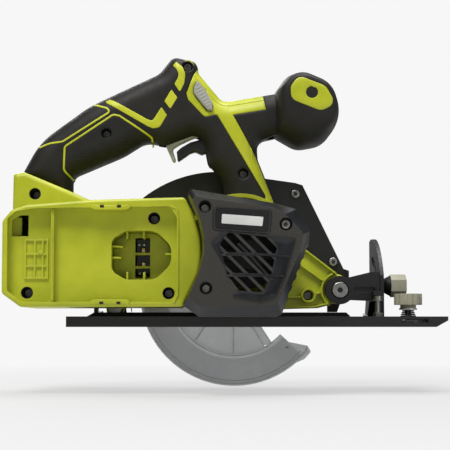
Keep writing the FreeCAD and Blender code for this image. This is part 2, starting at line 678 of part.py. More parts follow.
def make_motor_cap():
    shell = cap_loft(0, -80.0, -110.0, CAP_FACE_Y)
    shell = shell.cut(rod(BARREL, CAP_ROOT_Y - 0.3, -70, BARREL_R + 0.3))
    shell = shell.cut(slab(BAY_OUTLINE, BAY_FACE_Y - 0.2, -70, 0.2))
    inside = cap_loft(-WALL, -79.0, -108.5, CAP_FACE_Y + WALL)
    shell = shell.cut(inside)
    window = slab(VENT_WINDOW, CAP_FACE_Y - 1, CAP_FACE_Y + WALL + 1)
    cap = shell.cut(window)
    bars = vent_bars()
    side_slots = []
    for i in range(5):
        z = 22 + 8 * i
        inner_part = box(20, 30 + 0.42 * (z - 14), -113, -95, z - 1, z + 5)
        side_slots.append(box(20, 60, -112, -96, z, z + 4).cut(inner_part))
    cap = fuse([cap] + bars)
    for slot in side_slots:
        cap = cap.cut(slot)
    for x, z, seat in CAP_SCREWS:
        tube = rod((x, z), CAP_FACE_Y + 1, CAP_ROOT_Y - 0.3, 6.0)
        tube = tube.common(cap_loft(-1.0, -79.0, -110.0, CAP_FACE_Y + 1))
        cap = cap.fuse(tube).cut(rod((x, z), -125, seat, 4.7)).cut(rod((x, z), seat, -80, SCREW_R + FIT))
    cap = cap.cut(slab(NAME_PLATE, CAP_FACE_Y - 1, CAP_FACE_Y + 1.0, 0.1))
    return cap.removeSplitter()


NAME_PLATE = [(-17, 85.4, 1.5), (22, 82.6, 1.5), (20.5, 68.8, 1.5), (-17.5, 71.2, 1.5)]


def vent_bars():
    """Slanted bars and two cross ribs over the vent window."""
    window = slab(VENT_WINDOW, CAP_FACE_Y - 0.8, CAP_FACE_Y + 2.5, 0.5)
    bars = []
    for i in range(-4, 5):
        bar = box(-60, 60, CAP_FACE_Y - 0.6, CAP_FACE_Y + 2.2, -1.1, 1.1)
        bar.rotate(vec(0, 0, 0), vec(0, 1, 0), 45)
        bar.translate(vec(8 + 10.5 * i, 0, 46))
        bars.append(bar.common(window))
    for z in (52, 37):
        bars.append(box(-20, 35, CAP_FACE_Y - 0.8, CAP_FACE_Y + 2.0, z - 0.8, z + 0.8).common(window))
    return [bar for bar in bars if bar.Volume > 0.5]


def make_name_plate():
    return slab(NAME_PLATE, CAP_FACE_Y - 0.3, CAP_FACE_Y + 1.0)


KNOB_OUTLINE = [
    (31.6, 154, 3), (31.6, 188.5, 3), (40, 200.5, 12), (53, 207, 14), (79, 196, 20),
    (86.5, 168, 28), (71, 147, 20), (50, 143, 16),
]
KNOB_CAP = [(43, 190.5, 6), (49.5, 200, 6), (72.5, 191, 8), (80, 176, 6), (67.5, 170.5, 7), (43.5, 180, 6)]
KNOB_HOLE = (60.5, 186)
KNOB_HALF = 34.0


def make_front_knob():
    """The cross grip: an egg-shaped barrel, longer across than it is tall."""
    knob = slab(KNOB_OUTLINE, -KNOB_HALF, KNOB_HALF)
    knob = soften(soften(knob, KNOB_HALF, 8.0), -KNOB_HALF, 8.0)
    for side in (-1, 1):
        y0, y1 = sorted((side * (KNOB_HALF - 2.5), side * (KNOB_HALF + 1)))
        knob = knob.cut(slab(KNOB_CAP, y0, y1))
    return knob.cut(rod(KNOB_HOLE, -40, 40, 2.6))


def make_knob_cap(side):
    y0, y1 = sorted((side * (KNOB_HALF - 2.5), side * KNOB_HALF))
    cap = slab(KNOB_CAP, y0, y1)
    return cap.cut(rod(KNOB_HOLE, -40, 40, 4.6))


def make_grip_skin():
    full = handle_full()
    region = slab(GREEN_PANEL, -HANDLE_HALF - 2, 2)
    arm = slab(ARM_SKIN, -HANDLE_HALF - 2, 2)
    skin = full.cut(handle_core()).cut(region).cut(arm)
    skin = skin.cut(slab(GRIP_ROOT, -40, 2)).cut(rod(BARREL, -90, 2, BARREL_R))
    skin = skin.cut(trigger_room()).cut(lock_room())
    for x, z, outer, seat, far in SHELL_SCREWS[:3]:
        skin = skin.cut(rod((x, z), -40, outer, SCREW_WELL_R))
        skin = skin.cut(rod((x, z), outer, 1, BOSS_TUBE_R + SEAT))
    return biggest(skin)


def make_arm_skin():
    skin = handle_full().common(slab(ARM_SKIN, -HANDLE_HALF - 2, 2)).cut(handle_core())
    skin = skin.cut(rod(BARREL, -90, 2, BARREL_R))
    return biggest(skin)


def biggest(shape):
    """The largest solid, dropping the crumbs that a cut leaves behind."""
    return sorted(shape.Solids, key=lambda solid: solid.Volume)[-1]


TRIGGER_OUTLINE = [
    (-57, 147.5, 2), (-52, 153), (-40, 166), (-30, 168, 3), (-25.5, 160), (-29, 150.5),
    (-38, 146, 8), (-46, 139.5, 3), (-48, 131.5, 1.5), (-51.8, 131.5, 1.5),
]
TRIGGER_FACE = [(-29.3, 150.2), (-38, 145.7, 8), (-45.6, 139.2, 3), (-47.6, 131.3, 1), (-45.5, 130.5, 1),
                (-33, 140.5, 10), (-24.8, 143)]


def make_trigger():
    body = slab(TRIGGER_OUTLINE, -5.9, 5.9)
    return body.cut(rod(TRIGGER_PIVOT, -8, 8, 2.0 + FIT))


def make_trigger_face():
    return slab(TRIGGER_FACE, -5.9, 5.9)


def make_lock_bar():
    button = slab(LOCK_BUTTON, -21.5, 21.5)
    button = button.cut(box(-40, -10, -18, 18, 160, 200)).fuse(box(-27.5, -22, -18.2, 18.2, 187.5, 191))
    for i in range(5):
        ridge = box(-5, 5, -22.3, -21.4, -0.5, 0.5)
        ridge.rotate(vec(0, 0, 0), vec(0, 1, 0), 20)
        ridge.translate(vec(-24.5 + 0.8 * i, 0, 189 - 2.9 * i))
        clipped = ridge.common(slab(LOCK_BUTTON, -30, 30, -1.0))
        button = button.fuse(clipped).fuse(mirror(clipped))
    return button


def make_trigger_pin():
    return rod(TRIGGER_PIVOT, -10.3, 10.3, 2.0)


def make_switch_module():
    body = box(-62, -24, -7.2, 7.2, 169, 182)
    plunger = box(-40, -36, -3, 3, 167.5, 169)
    return fuse([body, plunger])


PIVOT_R = 11.3


def make_front_bracket():
    """Carries the depth pivot at the rear and the bevel plate across the saw at the front."""
    cheek = slab([(88, 21.5), (114.5, 20.6, 2), (114.5, 43.5, 3), (108, 43.7, 6), (88, 38.8)], -20, -11)
    eye = rod(PIVOT, -20, -11, PIVOT_R)
    dent = slab([(94, 27.5, 1.7), (94, 31.5, 1.7), (111, 31.5, 1.7), (111, 27.5, 1.7)], -21, -18.6)
    far_cheek = slab([(88, 22), (112, 21, 2), (112, 40, 3), (88, 37)], 8.2, 13.0)
    far_cheek = far_cheek.fuse(rod(PIVOT, 8.2, 13.0, 9.5))
    plate = cross_plate()
    lug = box(108, 114.5, -33, -19, 24.6, 28)
    bracket = fuse([cheek, eye, far_cheek, plate, lug]).cut(dent)
    bracket = bracket.cut(rod(PIVOT, -30, 20, 4.0 + FIT)).cut(rod_x(-4, 33, 100, 120, 3.0 + FIT))
    bracket = bracket.cut(rod(PIVOT, -21, -17.5, 7.0)).cut(rod_x(BEVEL[0], BEVEL[1], 100, 120, 3.0 + FIT))
    return bracket.removeSplitter()


def cross_plate():
    """The plate across the front, in the Y-Z plane, from the stud to the bevel pin."""
    points = [
        (-20, 20.6), (-20, 43.5), (14, 43.5), (30, 30), (41, 12), (41, 8), (36, 3), (31, 5), (10, 20.6),
    ]
    wire = Part.makePolygon([vec(110.0, y, z) for y, z in points + points[:1]])
    return Part.Face(wire).extrude(vec(4.5, 0, 0))


def make_pivot_bolt():
    head = soften(rod(PIVOT, -20.5, -17.6, 6.5), -20.5, 1.0)
    head = head.cut(hexagon(PIVOT, -21, -18.8, 2.4))
    return fuse([head, rod(PIVOT, -17.6, 13.4, 4.0)]).fuse(hexagon(PIVOT, 13.1, 14.6, 6.0))


def quadrant_face(x):
    """The bevel quadrant in the plane X = x: an arc of 65 mm about the bevel axis, with its slot."""
    radius = 65.0
    near = math.degrees(math.acos((BEVEL[0] + 20) / radius))
    far = math.degrees(math.acos((BEVEL[0] - 49) / radius))
    arc = []
    for degrees in (near, (near + far) / 2, far):
        y, z = around(BEVEL, radius, 180 - degrees)
        arc.append(vec(x, y, z))
    corners = [vec(x, 49, SOLE), vec(x, -20, SOLE)]
    edges = [
        Part.Arc(arc[0], arc[1], arc[2]).toShape(),
        Part.LineSegment(arc[2], corners[0]).toShape(),
        Part.LineSegment(corners[0], corners[1]).toShape(),
        Part.LineSegment(corners[1], arc[0]).toShape(),
    ]
    return Part.Face(Part.Wire(edges))


def arc_slot(at, radius, width, start, end, thick):
    """A slot along an arc with round ends, cut along its own axis (drawn in X-Z from Y = 0)."""
    body = sector(at, 0, thick, radius + width / 2, radius - width / 2, start, end)
    ends = [rod(around(at, radius, a), 0, thick, width / 2) for a in (start, end)]
    return fuse([body] + ends)


def make_bevel_quadrant():
    plate = quadrant_face(115.0).extrude(vec(3.0, 0, 0))
    stud_angle = math.degrees(math.atan2(33 - BEVEL[1], -4 - BEVEL[0]))
    slot = arc_slot((0, 0), BEVEL_SLOT_R, 6.8, stud_angle + 1, stud_angle - BEVEL_TRAVEL - 1, 12)
    slot.rotate(vec(0, 0, 0), vec(0, 0, 1), 90)
    slot.translate(vec(122, BEVEL[0], BEVEL[1]))
    window = rod_x(36, 34, 110, 122, 9.0).fuse(box(110, 122, 14, 36, 16, 32))
    plate = plate.cut(slot).cut(window)
    plate = plate.cut(rod_x(BEVEL[0], BEVEL[1], 100, 125, 3.0))
    foot = box(118, 126, 20, 49, SOLE, SOLE + 3)
    return plate.fuse(foot).removeSplitter()


def make_rear_ear():
    ear = box(-116, -113, 29, 43, SOLE, 16)
    foot = box(-124, -116, 29, 43, SOLE, SOLE + 3)
    return fuse([ear, foot]).cut(rod_x(BEVEL[0], BEVEL[1], -120, -110, 3.0))


def make_rear_bracket():
    """Links the rear bevel pin to the foot of the depth arm."""
    points = [(13.8, 4.5), (13.8, 11), (30, 13), (39, 13), (41, 8), (36, 3.2), (30, 3.8)]
    wire = Part.makePolygon([vec(-112.0, y, z) for y, z in points + points[:1]])
    plate = Part.Face(wire).extrude(vec(3.0, 0, 0))
    return plate.cut(rod_x(BEVEL[0], BEVEL[1], -120, -100, 3.0 + FIT))


def make_depth_arm():
    """The curved strut that the depth clamp grips, centred on the depth pivot."""
    end = DEPTH_BOLT_ANGLE - DEPTH_TRAVEL
    body = sector(PIVOT, 10.2, 13.8, DEPTH_ARM_R + 8, DEPTH_ARM_R - 8, 190.0, end - 2.6)
    foot = box(-112, -90, 10.2, 13.8, 4.2, 9.5)
    slot = arc_slot(PIVOT, DEPTH_ARM_R, 6.8, DEPTH_BOLT_ANGLE + 0.6, end - 0.6, 10)
    slot.translate(vec(0, 6, 0))
    return fuse([body.cut(box(-130, 0, 0, 30, -20, 4.2)), foot]).cut(slot)


def make_depth_clamp():
    head = hexagon(DEPTH_BOLT, -4.0, 0.0, 5.5)
    return fuse([head, rod(DEPTH_BOLT, 0, 24.0, 3.0)])


def make_depth_lever():
    """The lever that tightens the depth clamp, at rest leaning back and up."""
    hub = rod(DEPTH_BOLT, 14.2, 22.0, 7.5)
    grip = slab([(-5, 0), (5, 0), (5.5, 44, 5), (-5.5, 44, 5)], 17.4, 21.4)
    grip.rotate(vec(0, 0, 0), vec(0, 1, 0), -34)
    grip.translate(vec(DEPTH_BOLT[0], 0, DEPTH_BOLT[1]))
    return fuse([hub, grip]).cut(rod(DEPTH_BOLT, 10, 25, 3.0 + FIT))


def make_shoe():
    """The sole with turned-up edges, the blade slot and the rip-fence slots."""
    plate = box(SHOE_REAR_X, 148, SHOE_NEAR_Y, SHOE_FAR_Y, 0, SOLE)
    toe = toe_ramp()
    near = box(SHOE_REAR_X, 150, SHOE_NEAR_Y, SHOE_NEAR_Y + 2, 0, 8)
    rear = box(SHOE_REAR_X, SHOE_REAR_X + 2, SHOE_NEAR_Y, 8, 0, 8)
    spine = slab([(-130, 2), (-113, 11.6), (89, 11.6), (92, 9), (92, 2)], -8, -6)
    shoe = fuse([plate, toe, near, rear, spine, fence_boss()])
    shoe = shoe.cut(box(-86, 82, 7.5, 50, -1, 20))
    shoe = shoe.cut(box(126, 146, -70, -58, 3.2, 6.2)).cut(box(128, 150, 46, 70, 2.0, 6.0))
    shoe = shoe.cut(rod_z(135.5, FENCE_Y, -1, 12, 2.6))
    return shoe.removeSplitter()


FENCE_Y = -30.0


def fence_boss():
    """The raised channel across the toe that the rip-fence bar slides through."""
    bridge = box(124, 148, -50, -14, 0, 7.6).cut(box(126, 146, -60, -10, SOLE, 5.6))
    return bridge


def toe_ramp():
    points = [(148, 0), (152, 0), (161, 5), (161, 8), (150, 8), (148, 7)]
    wire = Part.makePolygon([vec(x, SHOE_NEAR_Y, z) for x, z in points + points[:1]])
    ramp = Part.Face(wire).extrude(vec(0, SHOE_FAR_Y - SHOE_NEAR_Y, 0))
    return ramp.cut(box(150, 158, SHOE_NEAR_Y + 3, SHOE_FAR_Y - 3, 3.4, 9))


def make_bevel_pins():
    front = rod_x(BEVEL[0], BEVEL[1], 108.0, 120.0, 3.0)
    rear = rod_x(BEVEL[0], BEVEL[1], -118.0, -107.0, 3.0)
    return [front, rear]


def make_bevel_knob():
    """Hexagonal grip on a dark conical collar, with the stud that clamps the bevel."""
    grip = hexagon((0, 0), 0, 12.5, 9.2, 30)
    grip = grip.makeFillet(0.8, rim_edges(grip, 12.5))
    grip.rotate(vec(0, 0, 0), vec(0, 0, 1), -90)
    grip.translate(vec(125.0, -4, 33))
    return grip


def make_bevel_stud():
    collar = Part.makeCone(5.0, 8.4, 6.6, vec(118.4, -4, 33), vec(1, 0, 0))
    return fuse([collar, rod_x(-4, 33, 104.0, 118.4, 3.0)])


def make_fence_knob():
    """A ten-lobed cap with a short skirt below it."""
    cap = rod_z(135.5, FENCE_Y, 17.3, 26.0, 11.0)
    for i in range(10):
        angle = math.radians(36 * i)
        cap = cap.cut(rod_z(135.5 + 12.6 * math.cos(angle), FENCE_Y + 12.6 * math.sin(angle), 17, 27, 2.6))
    skirt = rod_z(135.5, FENCE_Y, 14.8, 17.4, 6.2)
    return fuse([cap, skirt]).cut(rod_z(135.5, FENCE_Y, 10, 22, 2.5))


def make_fence_bolt():
    head = box(131.6, 139.4, FENCE_Y - 3.9, FENCE_Y + 3.9, 2.2, 5.4)
    return fuse([head, rod_z(135.5, FENCE_Y, 5.4, 21.8, 2.5)])


def make_fence_washer():
    return rod_z(135.5, FENCE_Y, 13.4, 14.7, 7.0).cut(rod_z(135.5, FENCE_Y, 12, 16, 2.7))


def make_fence_spring():
    rings = []
    for i in range(4):
        rings.append(Part.makeTorus(5.6 - 0.5 * i, 0.6, vec(135.5, FENCE_Y, 8.4 + 1.4 * i), vec(0, 0, 1)))
    return rings


def make_stop_screw():
    """The set screw that stops the bevel at square, with its lock nut."""
    x, y = 112.0, -27.0
    head = rod_z(x, y, 20.4, 24.4, 3.6)
    shank = rod_z(x, y, SOLE, 20.4, 1.6)
    nut = hexagon((0, 0), 0, 3.4, 3.9)
    nut.rotate(vec(0, 0, 0), vec(1, 0, 0), 90)
    nut.translate(vec(x, y, 7.8))
    return [fuse([head, shank]), nut.cut(rod_z(x, y, 0, 12, 1.62)), stop_tab(x, y)]


def stop_tab(x, y):
    tab = box(x - 5, x + 5, y - 4.5, y + 4.5, SOLE, 7.7)
    return tab.cut(box(x - 3, x + 3, y - 5, y + 5, SOLE + 1.5, 6.0)).cut(rod_z(x, y, 0, 12, 1.62))


def make_spindle_lock():
    stem = Part.makeCylinder(2.5, 26.5, vec(24.4, LOCK_PIN_Y, LOCK_PIN_Z), vec(1, 0, 0))
    head = Part.makeCylinder(3.2, 5.0, vec(50.9, LOCK_PIN_Y, LOCK_PIN_Z), vec(1, 0, 0))
    return fuse([stem, head])


def make_terminal_block():
    post = box(-81.5, -62.5, -29.5, -22.5, 41, 67)
    tower = box(-77, -67, -50, -29.5, 41, 67)
    for z in (47.5, 58.5):
        tower = tower.cut(box(-74, -70, -51, -32, z - 2.5, z + 2.5))
    return fuse([post, tower])


def make_terminal_contacts():
    clips = []
    for z in (47.5, 58.5):
        clips.append(box(-73.2, -70.8, -49, -32.0, z - 2.0, z + 2.0))
    return clips


def make_housing_screws():
    shells = [screw(x, z, seat, SHELL_SCREW_END_Y) for x, z, outer, seat, far in SHELL_SCREWS]
    return shells + [screw(58.2, 25.1, -6.0, 6.5)]


def make_cap_screws():
    return [screw(x, z, seat, -82.0) for x, z, seat in CAP_SCREWS]


def make_guard_screws():
    return [screw(x, z, GUARD_NEAR_Y, 43.5) for x, z in GUARD_SCREWS]


def main():
    os.makedirs("parts", exist_ok=True)
    write("housing_near", make_housing_near())
    write("housing_far", make_housing_far())
    near_skin = make_grip_skin()
    write("grip_skin_near", near_skin)
    write("grip_skin_far", mirror(near_skin).cut(guard_clearance()))
    arm_skin = make_arm_skin()
    write("arm_skin_near", arm_skin)
    write("arm_skin_far", mirror(arm_skin).cut(guard_clearance()))
    write("front_knob", make_front_knob())
    write("knob_cap_near", make_knob_cap(-1))
    write("knob_cap_far", make_knob_cap(1))
    write("motor_cap", make_motor_cap())
    write("name_plate", make_name_plate())
    write("motor_can", make_motor_can())
    write("motor_magnets", make_motor_magnets())
    write("armature", make_armature())
    write("commutator", make_commutator())
    write("motor_shaft", make_motor_shaft())
    write("motor_fan", make_fan())
    write("brush_holder", make_brush_holder())
    write("carbon_brushes", make_brushes())
    write("motor_bearings", motor_bearings())
    write("pinion", make_pinion())
    write("gear_case", make_gear_case())
    write("driven_gear", make_driven_gear())
    write("spindle", make_spindle())
    write("spindle_bearings", spindle_bearings())
    write("blade_flanges", [make_flange(30.2, BLADE_Y), make_flange(BLADE_Y + BLADE_THICK, 39.2)])
    write("arbor_screw", make_arbor_screw())
    write("upper_guard_inner", make_upper_guard_inner())
    write("upper_guard_outer", make_upper_guard_outer())
    write("lower_guard", make_lower_guard())
    write("guard_spring", make_guard_spring())
    write("spindle_lock", make_spindle_lock())
    write("trigger", make_trigger())
    write("trigger_face", make_trigger_face())
    write("trigger_pin", make_trigger_pin())
    write("trigger_switch", make_switch_module())
    write("lock_off_button", make_lock_bar())
    write("terminal_block", make_terminal_block())
    write("terminal_contacts", make_terminal_contacts())
    write("housing_screws", make_housing_screws())
    write("cap_screws", make_cap_screws())
    write("guard_screws", make_guard_screws())
    write("front_bracket", make_front_bracket())
    write("pivot_bolt", make_pivot_bolt())
    write("rear_bracket", make_rear_bracket())
    write("depth_arm", make_depth_arm())
    write("depth_clamp_bolt", make_depth_clamp())
    write("depth_lever", make_depth_lever())
    write("bevel_knob", make_bevel_knob())
    write("bevel_stud", make_bevel_stud())
    write("shoe", make_shoe())
    write("bevel_quadrant", make_bevel_quadrant())
    write("rear_ear", make_rear_ear())
    write("bevel_pins", make_bevel_pins())
    write("fence_knob", make_fence_knob())
    write("fence_bolt", make_fence_bolt())
    write("fence_washer", make_fence_washer())
    write("fence_spring", make_fence_spring())
    write("stop_screw", make_stop_screw())


main()
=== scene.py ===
import json
import math

import bmesh
import bpy
import numpy as np
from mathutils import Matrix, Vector
from mathutils.geometry import delaunay_2d_cdt


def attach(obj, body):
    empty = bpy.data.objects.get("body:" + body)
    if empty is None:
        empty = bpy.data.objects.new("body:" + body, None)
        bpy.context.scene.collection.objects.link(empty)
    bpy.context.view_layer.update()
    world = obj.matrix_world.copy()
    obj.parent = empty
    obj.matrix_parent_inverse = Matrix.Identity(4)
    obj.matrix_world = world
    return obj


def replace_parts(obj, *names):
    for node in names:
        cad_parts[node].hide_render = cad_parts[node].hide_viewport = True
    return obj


# Cordless circular saw: the looks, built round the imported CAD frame.
# Lengths in this script are millimetres and are turned into metres when a mesh is made.
# X forward, Y towards the blade side, Z up, as in the CAD. Outlines are (x, z) or (x, z, corner radius).

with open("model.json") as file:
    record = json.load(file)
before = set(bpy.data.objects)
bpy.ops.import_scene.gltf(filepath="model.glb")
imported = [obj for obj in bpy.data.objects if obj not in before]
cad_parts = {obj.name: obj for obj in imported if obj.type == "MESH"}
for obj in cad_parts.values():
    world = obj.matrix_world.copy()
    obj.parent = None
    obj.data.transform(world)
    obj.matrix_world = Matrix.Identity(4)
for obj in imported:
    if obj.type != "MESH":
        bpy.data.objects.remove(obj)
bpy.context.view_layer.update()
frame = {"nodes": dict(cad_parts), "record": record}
NODES = frame["nodes"]

MM = 0.001
HANDLE_HALF = 19.0
HANDLE_ROUND = 16.0
HANDLE_FULLNESS = 2.3
SKIN_THICK = 2.5
SEAM_DROP = 0.55
SEAM_WIDTH = 0.9
TRIGGER_HALF = 6.2
INLAY_RISE = 0.35
MESH_STEP = 1.6
# Between rows of mesh points, between added points, and through the thinnest piece
ROW_STEP = 0.87
CLOSEST = 0.45
THINNEST = 0.06
SMOOTH_ANGLE = 40
KNOB_END = 33.4
KNOB_FULLNESS = 2.7
# The near side faces the camera, the far side carries the blade
SIDES = ((-1, "near"), (1, "far"))

HANDLE_OUTLINE = [
    (-120, 96), (-174, 119), (-158, 149, 60), (-118, 178.5, 90), (-62, 205, 14), (-50.5, 219.3, 7),
    (-31, 215, 7), (-29.5, 205.5, 6), (-10, 182, 9), (41, 190.6), (41, 156.7), (17.5, 150, 12),
    (18.5, 135, 10), (34, 95), (-9.5, 94), (-9.5, 118, 22), (-22, 131, 10), (-27, 157, 9),
    (-56, 146, 9), (-72, 149, 16), (-90, 137.5, 60), (-131, 120, 8), (-131, 106, 6),
]
GREEN_PANEL = [
    (-27, 215), (-34, 202), (-39.5, 187), (-38.2, 182, 3), (-25, 168, 3), (-15, 170, 2), (24, 105),
    (24, 90), (38, 90), (33, 95), (17, 135), (-2, 169.7), (24.4, 174), (21.2, 192),
]
ARM_SKIN = [(21.2, 192), (24.4, 174), (-2, 169.7), (17, 135), (33, 95), (45, 120), (45, 192)]
GRIP_ROOT = [(-190, 80), (-190, 133), (-166, 122.6), (-120, 102.7), (-108, 98.6), (-40, 98.6), (-40, 80)]
LOCK_BUTTON = [
    (-31.5, 197.5, 1), (-24, 190, 3), (-18, 177, 2), (-18.5, 172.5, 1), (-23, 172.5, 1),
    (-34, 186.5, 2), (-34, 191.5, 1),
]
TRIGGER_SLOT = [(-62, 138), (-62, 162), (-22, 170), (-18, 150), (-20, 126), (-45, 125)]
BARREL = (2.0, 57.0)
BARREL_R = 43.0
# Where the rounded form runs on under the knob and into the motor barrel
DOME_ARM = [(55, 193), (55, 150)]
DOME_FOOT = [(50, 55), (-9.5, 55)]
HANDLE_SCREWS = [(-103.5, 154.5), (-38.7, 209.5), (6.2, 122.5)]
HANDLE_SEATS = (8.1, 9.1, 8.1)
SCREW_WELL_R = 4.6

# Lime inlays on the grip
UPPER_LINE = [(-113.8, 178.4), (-103.0, 174.8, 4), (-100.8, 171.8, 2), (-138.5, 147.6, 5),
              (-149.0, 146.4, 8), (-157.5, 143.6)]
LOWER_LINE = [(-130.2, 117.8), (-137.2, 124.6, 5), (-136.6, 143.6, 3), (-98.0, 169.6, 4),
              (-93.0, 168.6, 3), (-67.0, 151.5, 3), (-66.7, 146.6)]
WIDE_STRIPE = [
    (-105.0, 180.1, 1), (-101.5, 182.4, 1), (-98.5, 181.4, 3), (-70.3, 165.6, 4), (-66.5, 164.6, 2.5),
    (-59.5, 175.8, 0.7), (-55.1, 169.3, 0.7), (-60.7, 159.5, 4), (-66.0, 158.4, 5), (-70.5, 160.2, 5),
]
SLASH = [(-51.5, 190.0, 0.8), (-46.7, 183.5, 0.8), (-52.3, 174.2, 0.8), (-57.1, 180.6, 0.8)]
HOOK = [
    (-47.8, 213.2, 0.8), (-42.6, 208.6, 4), (-40.4, 203.0, 6), (-41.2, 195.0, 8), (-44.7, 188.0, 0.8),
    (-49.1, 194.5, 0.8), (-46.6, 198.8, 4), (-45.6, 202.7, 4), (-47.4, 206.6, 4), (-50.4, 210.0, 0.8),
]
THIN_LINE = 1.5
PALM_AREA = [
    (-129.6, 118.8), (-135.9, 125.2, 5), (-135.4, 142.8, 3), (-97.8, 168.2, 4), (-93.4, 167.4, 3),
    (-67.8, 150.8, 3), (-67.4, 140), (-100, 125),
]

KNOB_OUTLINE = [
    (31.6, 154, 3), (31.6, 188.5, 3), (40, 200.5, 14), (53, 206.6, 16), (79, 195.5, 22),
    (86, 168, 28), (71, 147.4, 20), (50, 143.4, 16),
]
KNOB_MIDDLE = (57.5, 175.0)
KNOB_CAP = [(43, 190.5, 7), (49.5, 199.5, 7), (71.5, 191, 10), (79.5, 176.5, 7), (67.5, 170.5, 8),
            (43.5, 180, 7)]
CAP_MIDDLE = (60.3, 185.7)
CAP_HOLE_R = 4.7

BUTTON_END = 22.3
# The lock-off button's finger ridges: their direction across and their spacing
BUTTON_ACROSS = (0.49, -0.87)
BUTTON_RIDGE = 2.7
BUTTON_FACE = [
    (-31.2, 196.9, 0.8), (-29.2, 195.4, 1), (-24.6, 189.8, 3), (-18.8, 179.5, 3), (-18.3, 173.0, 0.8),
    (-22.3, 173.0, 0.8), (-26.6, 177.8, 4), (-33.7, 187.0, 1), (-33.7, 190.7, 1.5),
]
TRIGGER_BODY = [
    (-56.2, 148.5, 1.5), (-55.0, 152.4, 1), (-52, 156.5, 2), (-46, 160.5, 4), (-40, 163.2, 2),
    (-30, 165.2, 2), (-26.5, 162, 2), (-29.3, 154.4, 1), (-36.6, 151.6, 4), (-44.9, 147.6, 4),
    (-50.2, 144.2, 1.5), (-50.2, 141.5, 1.5), (-48.1, 135.4, 1.5), (-48.6, 132.9, 1.2),
    (-50.6, 133.8, 1.5), (-55.6, 145.2, 5),
]
TRIGGER_PAD = [
    (-22.5, 153.0, 1), (-28.0, 151.6, 3), (-36.4, 149.2, 4), (-43.6, 145.0, 3), (-47.4, 141.6, 1),
    (-46.6, 133.4, 1.5), (-43.6, 135.4, 3), (-36.8, 140.3, 5), (-32.5, 141.8, 3), (-27.0, 139.4, 1.5),
    (-22.5, 141.0, 2),
]
GUARD_FACE = 26.5
GUARD_WEB = [(12.4, 3.0), (20.4, 3.0), (31.8, -14.4), (24.0, -15.2)]

ARM_FACE = 10.0
RIB_HEIGHT = 5.0
PIVOT = (83.0, 29.2)
ARBOR = (0, 29.5)
ARM_SCREW = (58.2, 25.1)
RIM_FACE = 86.0
BAY_FLOOR = 76.0
CAP_FACE = 122.0
VENT_WINDOW = [(-14, 60), (-8, 68), (22, 64.5), (27, 57), (23, 38), (17, 25), (0, 26), (-9, 38)]
VENT_FIELD = [
    (-20.0, 60.2, 0.6), (-12.0, 69.0, 0.6), (40.5, 63.6, 0.6), (36.0, 48.8, 1), (32.6, 36.4, 1),
    (25.6, 22.6, 1), (15.6, 18.6, 0.6), (-6.0, 22.8, 0.6), (0.0, 25.6, 1), (-8.0, 40.0, 1),
]
SOCKET = [
    (-94.8, 42, 7), (-84, 35.8, 8), (-62, 35.8, 12), (-50.3, 47, 12), (-50.3, 61, 12),
    (-62, 72.2, 12), (-84, 72.2, 10), (-94.8, 66, 7),
]
TERMINAL_SLOT = [(-78.2, 37.6, 0.6), (-78.2, 68.4, 0.6), (-66.9, 68.4, 0.6), (-66.9, 37.6, 0.6)]
# Screw wells in the lime shell and the cap: x, z, radius, the face and the seat of the screw head
SHELL_WELLS = [
    (-157.3, 103.7, 4.55, 39.6, 24.0), (-158.2, 25.6, 4.55, 75.8, 62.0),
    (-63.0, 81.8, 4.55, 75.8, 62.0), (-52.0, 25.3, 4.55, 75.8, 62.0),
    (-24.8, 86.8, 4.65, 121.7, 104.0), (-24.0, 27.9, 4.65, 121.7, 104.0),
]
NAME_LABEL = [(-12.6, 81.4, 0.8), (17.4, 79.3, 0.8), (16.6, 72.6, 0.8), (-12.9, 74.6, 0.8)]

# Camera, floor and light: metres and degrees, but millimetres for the lens and the floor's height
CAMERA_AT = (-0.0283, -1.1, 0.0015)
CAMERA_TILT = 4.205
CAMERA_YAW = -1.05
LENS = 108.8
FLOOR_Z = -50.8
FLOOR_RADIUS = 3.5
AIM = (0, 0, 0.08)
# How bright the surroundings look to the camera, and how brightly they light the saw
PALE = 0.93
CAST = 0.16


# ---- outlines -----------------------------------------


def rounded(corners, step=1.0, closed=True):
    """Points along an outline, with an arc at each corner that states a radius."""
    count = len(corners)
    points = []
    for i, corner in enumerate(corners):
        spot = Vector(corner[:2])
        radius = corner[2] if len(corner) > 2 else 0
        if not radius or (not closed and i in (0, count - 1)):
            points.append(spot)
            continue
        back = Vector(corners[i - 1][:2]) - spot
        ahead = Vector(corners[(i + 1) % count][:2]) - spot
        half = back.angle(ahead) / 2
        reach_back = min(radius / math.tan(half), 0.49 * back.length, 0.49 * ahead.length)
        radius = reach_back * math.tan(half)
        middle = spot + (back.normalized() + ahead.normalized()).normalized() * radius / math.sin(half)
        start = spot + back.normalized() * reach_back
        end = spot + ahead.normalized() * reach_back
        first = math.atan2(start.y - middle.y, start.x - middle.x)
        sweep = math.atan2(end.y - middle.y, end.x - middle.x) - first
        sweep = (sweep + math.pi) % (2 * math.pi) - math.pi
        turns = max(3, int(abs(sweep) * radius / step), int(abs(sweep) / 0.35))
        for k in range(turns + 1):
            angle = first + sweep * k / turns
            points.append(Vector((middle.x + radius * math.cos(angle),
                                  middle.y + radius * math.sin(angle))))
    return even(points, step, closed)


def even(points, step, closed=True):
    """The same run of points with long stretches divided."""
    spread = []
    pairs = list(zip(points, points[1:] + points[:1])) if closed else list(zip(points, points[1:]))
    for start, end in pairs:
        length = (end - start).length
        if length < 1e-4:
            continue
        pieces = max(1, math.ceil(length / step))
        for k in range(pieces):
            spread.append(start.lerp(end, k / pieces))
    if not closed:
        spread.append(points[-1])
    return np.array([(p.x, p.y) for p in spread])


def circle(middle, radius, count=28):
    angles = np.arange(count) * 2 * math.pi / count
    return np.stack([middle[0] + radius * np.cos(angles), middle[1] + radius * np.sin(angles)], 1)


